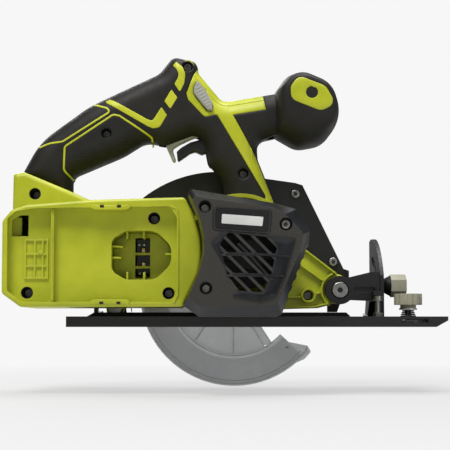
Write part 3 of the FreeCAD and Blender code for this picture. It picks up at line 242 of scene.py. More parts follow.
def band(corners, width, step=1.0):
    """A closed loop of one width round a line, with round ends."""
    line = rounded(corners, step, closed=False)
    along = np.gradient(line, axis=0)
    along /= np.linalg.norm(along, axis=1)[:, None]
    side = np.stack([-along[:, 1], along[:, 0]], 1) * width / 2
    return np.concatenate([line + side, (line - side)[::-1]])


def inside(loop, points):
    """True for the points that lie within a closed loop."""
    x, z = points[:, 0][:, None], points[:, 1][:, None]
    x0, z0 = loop[:, 0], loop[:, 1]
    x1, z1 = np.roll(x0, -1), np.roll(z0, -1)
    crosses = (z0 > z) != (z1 > z)
    with np.errstate(divide="ignore", invalid="ignore"):
        at = (x1 - x0) * (z - z0) / (z1 - z0) + x0
    return (np.sum(crosses & (x < at), axis=1) % 2).astype(bool)


def reach(loops, points):
    """How far each point is from the nearest of some closed loops."""
    best = np.full(len(points), 1e9)
    for loop in loops:
        start, end = loop, np.roll(loop, -1, axis=0)
        run = end - start
        length = np.maximum((run**2).sum(1), 1e-12)
        for low in range(0, len(points), 4000):
            part = points[low:low + 4000]
            offset = part[:, None, :] - start[None]
            t = np.clip((offset * run[None]).sum(2) / length, 0, 1)
            gap = offset - t[..., None] * run[None]
            best[low:low + 4000] = np.minimum(best[low:low + 4000], np.sqrt((gap**2).sum(2)).min(1))
    return best


def offsets(loop, distances):
    """Points beside a loop on both sides, at some distances from it."""
    along = np.roll(loop, -1, axis=0) - np.roll(loop, 1, axis=0)
    along /= np.maximum(np.linalg.norm(along, axis=1), 1e-9)[:, None]
    side = np.stack([-along[:, 1], along[:, 0]], 1)
    rows = []
    for distance in distances:
        for sign in (-1, 1):
            moved = loop + side * sign * distance
            clear = reach([loop], moved) > distance * 0.93
            rows.append(moved[clear])
    return np.concatenate(rows)


# ---- meshes -------------------------------------------


def put(thing):
    """Adds an object to the scene."""
    bpy.context.scene.collection.objects.link(thing)


def link(name, mesh, material, body):
    """Makes the object, shades it, and lets it ride on a body."""
    mesh.validate()
    mesh.update()
    mesh.shade_smooth()
    mesh.set_sharp_from_angle(angle=math.radians(SMOOTH_ANGLE))
    piece = bpy.data.objects.new(name, mesh)
    put(piece)
    piece.data.materials.append(material)
    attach(piece, body)
    return piece


def mesh_from(name, points, faces):
    """A mesh from points in millimetres."""
    mesh = bpy.data.meshes.new(name)
    mesh.from_pydata([tuple(c * MM for c in p) for p in points], [], faces)
    return mesh


def triangles(loops, keep, extra, step=MESH_STEP):
    """Triangles that follow every loop, of which those that keep() accepts stay."""
    points = []
    edges = []
    for loop in loops:
        first = len(points)
        points += [tuple(p) for p in loop]
        edges += [(first + i, first + (i + 1) % len(loop)) for i in range(len(loop))]
    border = np.concatenate(loops)
    low, high = border.min(0), border.max(0)
    across = np.arange(low[0], high[0], step)
    up = np.arange(low[1], high[1], step * ROW_STEP)
    grid = np.array([(x + (step / 2 if k % 2 else 0), z) for k, z in enumerate(up) for x in across])
    free = np.concatenate([extra, grid]) if len(extra) else grid
    spacing = np.concatenate([np.full(len(extra), 0.16), np.full(len(grid), step * 0.55)])
    wide = free[keep(free)]
    spacing = spacing[keep(free)]
    wide = wide[reach(loops, wide) > spacing]
    if len(extra):
        taken = set()
        chosen = []
        for p in wide:
            cell = (round(p[0] / CLOSEST), round(p[1] / CLOSEST))
            if cell not in taken:
                taken.add(cell)
                chosen.append(p)
        wide = np.array(chosen)
    points += [tuple(p) for p in wide]
    result = delaunay_2d_cdt([Vector(p) for p in points], edges, [], 0, 1e-5)
    spots = np.array([(p.x, p.y) for p in result[0]])
    faces = [tuple(f) for f in result[2]]
    centres = np.array([spots[list(f)].mean(0) for f in faces])
    kept = keep(centres)
    faces = [f for f, use in zip(faces, kept) if use]
    return spots, faces


def relief(name, spots, faces, outer, inner, side, material, body, slot):
    """A closed shell over flat triangles; outer and inner give its distances from the split plane."""
    used = sorted({i for f in faces for i in f})
    index = {old: new for new, old in enumerate(used)}
    flat = spots[used]
    top = outer(flat)
    bottom = np.minimum(inner(flat), top - THINNEST)
    count = len(used)
    points = [(x, side * y, z) for (x, z), y in zip(flat, top)]
    points += [(x, side * y, z) for (x, z), y in zip(flat, bottom)]
    shell = []
    rim = {}
    for f in faces:
        a, b, c = (index[i] for i in f)
        shell += [(a, b, c), (c + count, b + count, a + count)]
        for pair in ((a, b), (b, c), (c, a)):
            if (pair[1], pair[0]) in rim:
                del rim[(pair[1], pair[0])]
            else:
                rim[pair] = True
    for a, b in rim:
        shell.append((b, a, a + count, b + count))
    if side > 0:
        shell = [f[::-1] for f in shell]
    return link(name, mesh_from(name, points, shell), material, body)


def loft(name, rings, material, body, closed_ends=True):
    """Faces between rings of equal length, with flat caps at the two ends."""
    count = len(rings[0])
    points = [p for ring in rings for p in ring]
    faces = []
    for k in range(len(rings) - 1):
        for i in range(count):
            j = (i + 1) % count
            faces.append((k * count + i, k * count + j, (k + 1) * count + j, (k + 1) * count + i))
    if closed_ends:
        faces.append(tuple(range(count))[::-1])
        faces.append(tuple((len(rings) - 1) * count + i for i in range(count)))
    else:
        last = (len(rings) - 1) * count
        for i in range(count):
            j = (i + 1) % count
            faces.append((last + i, last + j, j, i))
    piece = link(name, mesh_from(name, points, faces), material, body)
    face_out(piece)
    return piece


def face_out(piece):
    """Turns every face of a closed mesh outwards."""
    work = bmesh.new()
    work.from_mesh(piece.data)
    bmesh.ops.recalc_face_normals(work, faces=work.faces)
    work.to_mesh(piece.data)
    work.free()


def ring(middle, y, angles, radii):
    """Points round a line along Y, with a radius for each angle."""
    return [(middle[0] + r * math.cos(a), y, middle[1] + r * math.sin(a)) for a, r in zip(angles, radii)]


def polar(corners, middle, count=96):
    """A loop as distances from a middle at even angles, for star-shaped outlines."""
    loop = rounded(corners, 0.4) - np.array(middle)
    angle = np.arctan2(loop[:, 1], loop[:, 0])
    order = np.argsort(angle)
    angles = np.linspace(-math.pi, math.pi, count, endpoint=False)
    return angles, np.interp(angles, angle[order], np.hypot(loop[:, 0], loop[:, 1])[order],
                             period=2 * math.pi)


# ---- materials ----------------------------------------


def shader(name, roughness=0.5, metallic=0.0, **inputs):
    """A new material's node tree and its surface node, with the values that are the same all over."""
    material = bpy.data.materials.new(name)
    material.use_nodes = True
    tree = material.node_tree
    surface = tree.nodes["Principled BSDF"]
    surface.inputs["Roughness"].default_value = roughness
    surface.inputs["Metallic"].default_value = metallic
    for key, value in inputs.items():
        surface.inputs[key.replace("_", " ")].default_value = value
    return material, tree, surface


def place(tree, stretch=(1, 1, 1)):
    """Where a point lies in the saw's own frame."""
    where = tree.nodes.new("ShaderNodeTexCoord")
    mapping = tree.nodes.new("ShaderNodeMapping")
    mapping.inputs["Scale"].default_value = stretch
    tree.links.new(where.outputs["Object"], mapping.inputs["Vector"])
    return mapping.outputs["Vector"]


def noise(tree, scale, detail=3.0, rough=0.5, stretch=(1, 1, 1)):
    node = tree.nodes.new("ShaderNodeTexNoise")
    node.inputs["Scale"].default_value = scale
    node.inputs["Detail"].default_value = detail
    node.inputs["Roughness"].default_value = rough
    tree.links.new(place(tree, stretch), node.inputs["Vector"])
    return node.outputs["Fac"]


def cells(tree, scale, regular=False):
    """The distance to the nearest of many spots, scattered or in rows."""
    node = tree.nodes.new("ShaderNodeTexVoronoi")
    node.inputs["Randomness"].default_value = 0.0 if regular else 1.0
    node.inputs["Scale"].default_value = scale
    tree.links.new(place(tree), node.inputs["Vector"])
    return node.outputs["Distance"]


def ramp(tree, value, low, high, first=0.35, last=0.65):
    """A colour that goes from low to high as a value goes from first to last."""
    node = tree.nodes.new("ShaderNodeValToRGB")
    node.color_ramp.elements[0].position = first
    node.color_ramp.elements[0].color = (*low, 1)
    node.color_ramp.elements[1].position = last
    node.color_ramp.elements[1].color = (*high, 1)
    tree.links.new(value, node.inputs["Fac"])
    return node.outputs["Color"]


def spread(tree, value, low, high, first=0.3, last=0.7):
    """A value that goes from low to high as another goes from first to last."""
    node = tree.nodes.new("ShaderNodeMapRange")
    node.inputs["From Min"].default_value = first
    node.inputs["From Max"].default_value = last
    node.inputs["To Min"].default_value = low
    node.inputs["To Max"].default_value = high
    tree.links.new(value, node.inputs["Value"])
    return node.outputs["Result"]


def blend_colours(tree, share, under, over):
    node = tree.nodes.new("ShaderNodeMix")
    node.data_type = "RGBA"
    tree.links.new(share, node.inputs[0])
    tree.links.new(under, node.inputs[6])
    tree.links.new(over, node.inputs[7])
    return node.outputs[2]


def bump(tree, height, depth, under=None):
    """Turns a height into a surface normal; depth is in millimetres."""
    node = tree.nodes.new("ShaderNodeBump")
    node.inputs["Strength"].default_value = 1.0
    node.inputs["Distance"].default_value = depth * MM
    tree.links.new(height, node.inputs["Height"])
    if under is not None:
        tree.links.new(under, node.inputs["Normal"])
    return node.outputs["Normal"]


def soft_edge(tree, radius):
    """A normal that rounds hard edges over, radius in millimetres."""
    node = tree.nodes.new("ShaderNodeBevel")
    node.samples = 4
    node.inputs["Radius"].default_value = radius * MM
    return node.outputs["Normal"]


def worn_edge(tree, normal_soft):
    """A share that is high only where an edge turns sharply."""
    geometry = tree.nodes.new("ShaderNodeNewGeometry")
    dot = tree.nodes.new("ShaderNodeVectorMath")
    dot.operation = "DOT_PRODUCT"
    tree.links.new(normal_soft, dot.inputs[0])
    tree.links.new(geometry.outputs["Normal"], dot.inputs[1])
    return spread(tree, dot.outputs["Value"], 1.0, 0.0, 0.72, 0.995)


def moulded(name, low, high, roughness=(0.36, 0.5), grain=900.0, depth=0.02, edge=0.5, wear=None):
    """Moulded plastic: slow colour drift, a fine spark-eroded grain and soft edges that catch the light."""
    material, tree, surface = shader(name, IOR=1.46)
    links = tree.links
    soft = soft_edge(tree, edge)
    colour = ramp(tree, noise(tree, 38, 4), low, high)
    if wear is not None:
        tint = ramp(tree, noise(tree, 300), wear, wear)
        colour = blend_colours(tree, worn_edge(tree, soft), colour, tint)
    links.new(colour, surface.inputs["Base Color"])
    links.new(spread(tree, noise(tree, 120, 3), *roughness), surface.inputs["Roughness"])
    fine = bump(tree, noise(tree, grain, 3, 0.6), depth, soft)
    links.new(bump(tree, noise(tree, 60, 2), 0.12, fine), surface.inputs["Normal"])
    return material


def rubber():
    """Soft overmould: matt, slightly brown black with a pebbled surface and a dusty bloom."""
    material, tree, surface = shader("rubber_looks", IOR=1.5, Specular_IOR_Level=0.32)
    links = tree.links
    dust = ramp(tree, noise(tree, 26, 5, 0.62), (0.0070, 0.0064, 0.0052), (0.0135, 0.0122, 0.0098))
    links.new(dust, surface.inputs["Base Color"])
    links.new(spread(tree, noise(tree, 90, 4), 0.52, 0.70), surface.inputs["Roughness"])
    soft = soft_edge(tree, 0.3)
    pebbles = bump(tree, cells(tree, 1350), 0.035, soft)
    links.new(bump(tree, noise(tree, 2600, 2), 0.012, pebbles), surface.inputs["Normal"])
    return material


def dimpled_rubber():
    """The palm panel: the same rubber with rows of small moulded dimples."""
    material, tree, surface = shader("dimpled_rubber_looks", IOR=1.5, Specular_IOR_Level=0.32)
    links = tree.links
    links.new(ramp(tree, noise(tree, 30, 5, 0.6), (0.0060, 0.0055, 0.0046), (0.0115, 0.0105, 0.0086)),
              surface.inputs["Base Color"])
    links.new(spread(tree, noise(tree, 90, 4), 0.55, 0.72), surface.inputs["Roughness"])
    rows = spread(tree, cells(tree, 390, regular=True), 1.0, 0.0, 0.15, 0.45)
    links.new(bump(tree, noise(tree, 2600, 2), 0.012, bump(tree, rows, 0.30)), surface.inputs["Normal"])
    return material


def cap_plastic():
    """The motor cap: gritty on its flat outer face and smooth blue-black on the slopes round it."""
    material, tree, surface = shader("cap_plastic_looks", IOR=1.5, Specular_IOR_Level=0.35)
    links = tree.links
    where = tree.nodes.new("ShaderNodeTexCoord")
    apart = tree.nodes.new("ShaderNodeSeparateXYZ")
    links.new(where.outputs["Object"], apart.inputs["Vector"])
    face = spread(tree, apart.outputs["Y"], 1.0, 0.0, (0.1 - CAP_FACE) * MM, (0.6 - CAP_FACE) * MM)
    grit = noise(tree, 1500, 4, 0.7)
    gritty = ramp(tree, grit, (0.015, 0.0135, 0.0115), (0.070, 0.064, 0.054), 0.38, 0.66)
    smooth = ramp(tree, noise(tree, 45, 4), (0.0045, 0.0052, 0.0066), (0.009, 0.0102, 0.0124))
    links.new(blend_colours(tree, face, smooth, gritty), surface.inputs["Base Color"])
    shine = tree.nodes.new("ShaderNodeMix")
    links.new(face, shine.inputs[0])
    links.new(spread(tree, noise(tree, 140, 3), 0.26, 0.38), shine.inputs[2])
    links.new(spread(tree, noise(tree, 900, 3), 0.55, 0.72), shine.inputs[3])
    links.new(shine.outputs[0], surface.inputs["Roughness"])
    soft = soft_edge(tree, 0.6)
    height = tree.nodes.new("ShaderNodeMath")
    height.operation = "MULTIPLY"
    links.new(grit, height.inputs[0])
    links.new(face, height.inputs[1])
    links.new(bump(tree, noise(tree, 2400, 2), 0.006, bump(tree, height.outputs[0], 0.14, soft)),
              surface.inputs["Normal"])
    return material


def metal(name, low, high, roughness, stretch=(1, 1, 1), depth=0.01, scale=220.0, metallic=1.0, edge=0.25,
          wear=None):
    """Machined, rolled or coated metal with fine drawn marks along one direction."""
    material, tree, surface = shader(name, metallic=metallic)
    links = tree.links
    soft = soft_edge(tree, edge)
    marks = noise(tree, scale, 5, 0.65, stretch)
    colour = ramp(tree, marks, low, high)
    if wear is not None:
        tint = ramp(tree, noise(tree, 500), wear, wear)
        colour = blend_colours(tree, worn_edge(tree, soft), colour, tint)
    links.new(colour, surface.inputs["Base Color"])
    links.new(spread(tree, noise(tree, scale * 0.6, 4, 0.6, stretch), *roughness),
              surface.inputs["Roughness"])
    links.new(bump(tree, marks, depth, soft), surface.inputs["Normal"])
    return material


def guard_plastic():
    """The moving guard: see-through polycarbonate with a smoke-grey tint, faintly scuffed by use."""
    material, tree, surface = shader("guard_plastic_looks", IOR=1.46, Alpha=0.68)
    links = tree.links
    links.new(ramp(tree, noise(tree, 30, 4), (0.54, 0.55, 0.56), (0.60, 0.61, 0.615)),
              surface.inputs["Base Color"])
    links.new(spread(tree, noise(tree, 70, 4), 0.20, 0.32), surface.inputs["Roughness"])
    links.new(bump(tree, noise(tree, 500, 2, 0.5), 0.002), surface.inputs["Normal"])
    return material


def floor_paper():
    """White paper that glows, more with distance, so that it meets the pale surroundings without an edge;
    the glow is painted light that also lightens the saw's shadow on it.
    """
    material, tree, surface = shader("floor_looks", roughness=0.9, Specular_IOR_Level=0.1)
    links = tree.links
    links.new(ramp(tree, noise(tree, 2.5, 3), (0.50, 0.50, 0.50), (0.52, 0.52, 0.52)),
              surface.inputs["Base Color"])
    links.new(bump(tree, noise(tree, 260, 4), 0.02), surface.inputs["Normal"])
    glow = tree.nodes.new("ShaderNodeEmission")
    glow.inputs["Color"].default_value = (1, 1, 1, 1)
    glow.inputs["Strength"].default_value = PALE
    apart = tree.nodes.new("ShaderNodeVectorMath")
    apart.operation = "LENGTH"
    links.new(place(tree), apart.inputs[0])
    # More than half of the floor is glow even under the saw: painted light in its shadow
    far = spread(tree, apart.outputs["Value"], 0.62, 1.0, 0.22, 0.75)
    mix = tree.nodes.new("ShaderNodeMixShader")
    links.new(far, mix.inputs["Fac"])
    links.new(surface.outputs["BSDF"], mix.inputs[1])
    links.new(glow.outputs["Emission"], mix.inputs[2])
    links.new(mix.outputs["Shader"], tree.nodes["Material Output"].inputs["Surface"])
    return material


LIME = moulded("lime_plastic_looks", (0.40, 0.44, 0.012), (0.50, 0.53, 0.020), (0.34, 0.46), 1100,
               0.018, 0.5, (0.60, 0.63, 0.10))
INLAY = moulded("lime_inlay_looks", (0.44, 0.47, 0.012), (0.54, 0.56, 0.022), (0.40, 0.52), 1500, 0.012,
                0.25)
RUBBER = rubber()
PALM = dimpled_rubber()
CAP = cap_plastic()
BLACK = moulded("black_plastic_looks", (0.0065, 0.0065, 0.007), (0.012, 0.012, 0.0125), (0.34, 0.5),
                1000, 0.02, 0.4)
BLACK_SATIN = moulded("satin_black_looks", (0.0050, 0.0058, 0.0070), (0.010, 0.0112, 0.0132),
                      (0.26, 0.38), 1500, 0.01, 0.5, (0.026, 0.029, 0.034))
GREY = moulded("grey_plastic_looks", (0.30, 0.30, 0.27), (0.37, 0.37, 0.335), (0.38, 0.5), 1000, 0.015,
               0.4, (0.45, 0.45, 0.42))
KNOB_GREY = moulded("knob_grey_looks", (0.30, 0.29, 0.21), (0.40, 0.385, 0.28), (0.42, 0.56), 800, 0.03,
                    0.5, (0.50, 0.48, 0.37))
PLATE = moulded("plate_dark_looks", (0.006, 0.006, 0.007), (0.011, 0.011, 0.012), (0.30, 0.42), 1400,
                0.01, 0.3)
LABEL = moulded("label_white_looks", (0.62, 0.62, 0.60), (0.72, 0.72, 0.69), (0.34, 0.46), 1600, 0.008,
                0.2)
# Pressed steel in satin black paint, rubbed thin on its edges
PAINTED = metal("black_metal_looks", (0.0032, 0.0032, 0.0032), (0.0070, 0.0070, 0.0068), (0.38, 0.54),
                (1, 1, 1), 0.02, 700, 0.0, 0.35, (0.022, 0.0215, 0.0205))
GUARD = guard_plastic()
STEEL = metal("steel_looks", (0.42, 0.42, 0.42), (0.60, 0.60, 0.59), (0.24, 0.4), (1, 6, 1), 0.01)
ZINC = metal("zinc_looks", (0.27, 0.27, 0.255), (0.42, 0.415, 0.385), (0.26, 0.42), (1, 1, 1), 0.012, 300)
# Zinc darkened as painted shade, for the screws that sit deep in wells
SHADED_WELL_SCREW = metal("dark_screw_looks", (0.10, 0.10, 0.095), (0.19, 0.185, 0.17), (0.30, 0.46),
                   (1, 1, 1), 0.012, 300)
ALUMINIUM = metal("aluminium_looks", (0.50, 0.50, 0.50), (0.64, 0.64, 0.64), (0.38, 0.55), (1, 1, 1),
                  0.05, 500)
COPPER = metal("copper_looks", (0.55, 0.24, 0.10), (0.72, 0.34, 0.16), (0.3, 0.45), (1, 9, 1), 0.03, 260)
BRASS = metal("brass_looks", (0.60, 0.43, 0.16), (0.74, 0.56, 0.26), (0.22, 0.36), (1, 4, 1), 0.008, 300)
MAGNET = metal("magnet_looks", (0.035, 0.035, 0.04), (0.06, 0.06, 0.065), (0.5, 0.7), (1, 1, 1), 0.03,
               900, 0.3)
CARBON = metal("carbon_looks", (0.012, 0.012, 0.012), (0.026, 0.026, 0.026), (0.5, 0.7), (1, 8, 1),
               0.02, 700, 0.0)

SLOT_LOOKS = {
    "lime_plastic": LIME, "black_rubber": RUBBER, "cap_black": CAP, "plate_grey": PLATE,
    "black_plastic": BLACK, "grey_plastic": GREY, "knob_grey": KNOB_GREY, "clear_guard": GUARD,
    "black_metal": PAINTED, "steel": STEEL, "zinc_steel": ZINC, "aluminium": ALUMINIUM,
    "copper": COPPER, "brass": BRASS, "magnet": MAGNET, "carbon": CARBON,
}

# Parts that look different from the rest of their material; the housing screws get zinc darkened as painted
# shade for their deep wells
NODE_LOOKS = {"housing_screws": SHADED_WELL_SCREW, "fence_spring": PAINTED}


def dress_frame():
    """Every CAD node takes the looks of its material slot."""
    for part in frame["record"]["subparts"]:
        node = NODES[part["node"]]
        for place_in in node.material_slots:
            place_in.material = NODE_LOOKS.get(part["node"], SLOT_LOOKS[part["material_slot"]])


# ---- main handle --------------------------------------

HANDLE_LOOP = rounded(HANDLE_OUTLINE)
DOME_LOOP = rounded(HANDLE_OUTLINE[:9] + DOME_ARM + HANDLE_OUTLINE[11:13] + DOME_FOOT + HANDLE_OUTLINE[15:])
PANEL_LOOP = rounded(GREEN_PANEL)
ARM_LOOP = rounded(ARM_SKIN)
ROOT_LOOP = rounded(GRIP_ROOT)
BUTTON_LOOP = rounded(LOCK_BUTTON)
SLOT_LOOP = rounded(TRIGGER_SLOT)
BARREL_LOOP = circle(BARREL, BARREL_R, 120)
WELLS = [circle(at, SCREW_WELL_R) for at in HANDLE_SCREWS]


def handle_dome(points, shrink=0.0):
    """How far the rounded handle stands from its split plane."""
    depth = np.clip((reach([DOME_LOOP], points) - shrink) / (HANDLE_ROUND - shrink), 0, 1)
    return (HANDLE_HALF - shrink) * (1 - (1 - depth)**HANDLE_FULLNESS)**(1 / HANDLE_FULLNESS)


def seam(points, loops):
    """The small step down beside a joint line."""
    return SEAM_DROP * np.clip(1 - reach(loops, points) / SEAM_WIDTH, 0, 1)**2


def in_grip(points):
    keep = inside(HANDLE_LOOP, points) & ~inside(PANEL_LOOP, points) & ~inside(ARM_LOOP, points)
    keep &= ~inside(ROOT_LOOP, points) & ~inside(BARREL_LOOP, points)
    for well in WELLS:
        keep &= ~inside(well, points)
    return keep


def in_panel(points):
    keep = inside(HANDLE_LOOP, points) & inside(PANEL_LOOP, points) & ~inside(ARM_LOOP, points)
    return keep & ~inside(BUTTON_LOOP, points) & ~inside(BARREL_LOOP, points) & ~inside(WELLS[2], points)


def in_arm(points):
    return inside(HANDLE_LOOP, points) & inside(ARM_LOOP, points) & ~inside(BARREL_LOOP, points)


def grip_outer(points):
    seams = [PANEL_LOOP, ARM_LOOP, ROOT_LOOP] + WELLS
    high = handle_dome(points) - seam(points, seams)
    slot = inside(SLOT_LOOP, points)
    return np.where(slot, np.maximum(high, TRIGGER_HALF + 0.5), np.maximum(high, THINNEST))


def grip_inner(points):
    low = np.maximum(handle_dome(points, SKIN_THICK), 0)
    return np.where(inside(SLOT_LOOP, points), np.maximum(low, TRIGGER_HALF), low)


def panel_outer(points):
    return np.maximum(handle_dome(points) - 0.2 - seam(points, [PANEL_LOOP, ARM_LOOP, BUTTON_LOOP]),
                      THINNEST)


def arm_outer(points):
    return np.maximum(handle_dome(points) - seam(points, [PANEL_LOOP, ARM_LOOP]), THINNEST)


def shell_parts(keep, loops):
    rings = np.concatenate([offsets(HANDLE_LOOP, (0.3, 0.8, 1.6, 2.7, 4.2, 6.0))] +
                           [offsets(loop, (0.45, 1.0)) for loop in loops if loop is not HANDLE_LOOP])
    return triangles(loops, keep, rings)


def build_handle():
    """Rubber grip, lime frame and rubber arm, all on one rounded form, as near and far halves."""
    shared = [HANDLE_LOOP, PANEL_LOOP, ARM_LOOP, ROOT_LOOP, BARREL_LOOP, SLOT_LOOP] + WELLS
    grip = shell_parts(in_grip, shared)
    frame_part = shell_parts(in_panel, [HANDLE_LOOP, PANEL_LOOP, ARM_LOOP, BUTTON_LOOP, BARREL_LOOP,
                                        WELLS[2]])
    arm = shell_parts(in_arm, [HANDLE_LOOP, PANEL_LOOP, ARM_LOOP, BARREL_LOOP])
    for side, word in SIDES:
        piece = relief("grip_" + word, *grip, grip_outer, grip_inner, side, RUBBER, "housing",
                       "black_rubber")
        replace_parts(piece, "grip_skin_" + word)
        relief("handle_frame_" + word, *frame_part, panel_outer, grip_inner, side, LIME, "housing",
               "lime_plastic")
        piece = relief("arm_" + word, *arm, arm_outer, grip_inner, side, RUBBER, "housing",
                       "black_rubber")
        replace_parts(piece, "arm_skin_" + word)


def raised(name, loop, side):
    """An inlay that follows the handle's rounded form and stands a little proud of it."""
    def keep(points):
        return inside(loop, points)

    def outer(points):
        edge = np.clip(reach([loop], points) / 0.35, 0, 1)
        return handle_dome(points) + INLAY_RISE * (0.35 + 0.65 * np.sqrt(edge))

    def inner(points):
        return handle_dome(points) - 1.2

    spots, faces = triangles([loop], keep, offsets(loop, (0.3,)), 1.2)
    return relief(name, spots, faces, outer, inner, side, INLAY, "housing", "lime_plastic")


def build_palm():
    """The dimpled panel that the lower lime line frames."""
    area = rounded(PALM_AREA)

    def keep(points):
        clear = inside(area, points) & inside(HANDLE_LOOP, points) & ~inside(WELLS[0], points)
        return clear & (reach([HANDLE_LOOP], points) > 0.9)

    def outer(points):
        edge = np.clip(reach([area, WELLS[0]], points) / 1.2, 0, 1)
        return handle_dome(points) + 0.16 * edge - 0.02

    def inner(points):
        return handle_dome(points) - 1.0

    rings = np.concatenate([offsets(HANDLE_LOOP, (1.0, 1.6, 2.7, 4.2, 6.0)), offsets(area, (0.6, 1.2))])
    spots, faces = triangles([area, HANDLE_LOOP, WELLS[0]], keep, rings)
    for side, word in SIDES:
        relief("grip_palm_" + word, spots, faces, outer, inner, side, PALM, "housing", "black_rubber")


def build_inlays():
    """The lime lines, stripe, slash and hook on both sides of the grip."""
    shapes = {
        "line_upper": band(UPPER_LINE, THIN_LINE), "line_lower": band(LOWER_LINE, THIN_LINE),
        "stripe": rounded(WIDE_STRIPE), "slash": rounded(SLASH), "hook": rounded(HOOK),
    }
    for side, word in SIDES:
        for name, loop in shapes.items():
            raised("grip_" + name + "_" + word, loop, side)


# ---- front knob ---------------------------------------


def build_knob():
    """The egg-shaped cross grip with a lime cap let into each end."""
    angles, belly = polar(KNOB_OUTLINE, KNOB_MIDDLE)
    _, tip = polar(KNOB_CAP, CAP_MIDDLE)
    rings = []
    turns = 34
    for k in range(turns + 1):
        t = -math.cos(math.pi * k / turns)
        share = 1 - (1 - abs(t)**KNOB_FULLNESS)**(1 / KNOB_FULLNESS)
        middle = [m + (c - m) * share for m, c in zip(KNOB_MIDDLE, CAP_MIDDLE)]
        radius = belly + (tip - belly) * share
        rings.append(ring(middle, KNOB_END * t, angles, radius))
    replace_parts(loft("front_knob_body", rings, RUBBER, "housing"), "front_knob")
    for side, word in SIDES:
        rings = []
        profile = [(0.0, 28.0), (0.0, 32.9), (-0.35, 33.5), (-1.2, 33.9), (-5.0, 34.0)]
        for inset, y in profile:
            rings.append(ring(CAP_MIDDLE, side * y, angles, tip + inset))
        hole = [(CAP_HOLE_R + 0.5, 33.9), (CAP_HOLE_R, 33.4), (CAP_HOLE_R, 28.5),
                (CAP_HOLE_R - 0.6, 28.0)]
        for radius, y in hole:
            rings.append(ring(CAP_MIDDLE, side * y, angles, [radius] * len(angles)))
        piece = loft("knob_end_" + word, rings, LIME, "housing", closed_ends=False)
        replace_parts(piece, "knob_cap_" + word)


# ---- details on the housing ---------------------------


def wall(name, outline, low, high, material, body="housing", slot="lime_plastic", holes=(), edge=0.5,
         step=1.5):
    """An upright wall or plate of one outline on the near side, its top edge rounded over."""
    def keep(points):
        inner = inside(outline, points)
        for hole in holes:
            inner &= ~inside(hole, points)
        return inner

    def outer(points):
        share = np.clip(reach([outline] + list(holes), points) / edge, 0, 1)
        return high - edge * (1 - np.sqrt(1 - (1 - share)**2))

    def inner(points):
        return np.full(len(points), low)

    rings = [offsets(loop, (0.25 * edge, 0.6 * edge)) for loop in [outline] + list(holes)]
    spots, faces = triangles([outline] + list(holes), keep, np.concatenate(rings), step)
    return relief(name, spots, faces, outer, inner, -1, material, body, slot)


def arc_line(middle, radius, start, end, count=14):
    angles = np.radians(np.linspace(start, end, count))
    return [(middle[0] + radius * math.cos(a), middle[1] + radius * math.sin(a)) for a in angles]


def build_arm_ribs():
    """The stiffening ribs and the screw boss on the front arm."""
    lines = {
        "top": ([(45.5, 69.2), (80.6, 42.2)], 1.5), "middle": ([(49.0, 51.5), (71.5, 35.8)], 1.5),
        "hub": (arc_line(PIVOT, 14.2, 112, 236), 1.6), "rear": ([(34.0, 23.4), (52.4, 23.8)], 1.5),
        "link": ([(64.0, 26.4), (69.4, 27.8)], 1.5),
        "foot": ([(31.0, 15.4), (62.0, 15.9), (78.4, 19.4)], 1.5),
    }
    for word, (line, width) in lines.items():
        wall("arm_rib_" + word, band(line, width, 0.8), ARM_FACE - 0.8, ARM_FACE + RIB_HEIGHT, LIME,
             edge=0.35)
    wall("arm_screw_boss", circle(ARM_SCREW, 6.2, 40), ARM_FACE - 0.8, ARM_FACE + RIB_HEIGHT + 0.4, LIME,
         holes=[circle(ARM_SCREW, 4.2, 32)], edge=0.6)


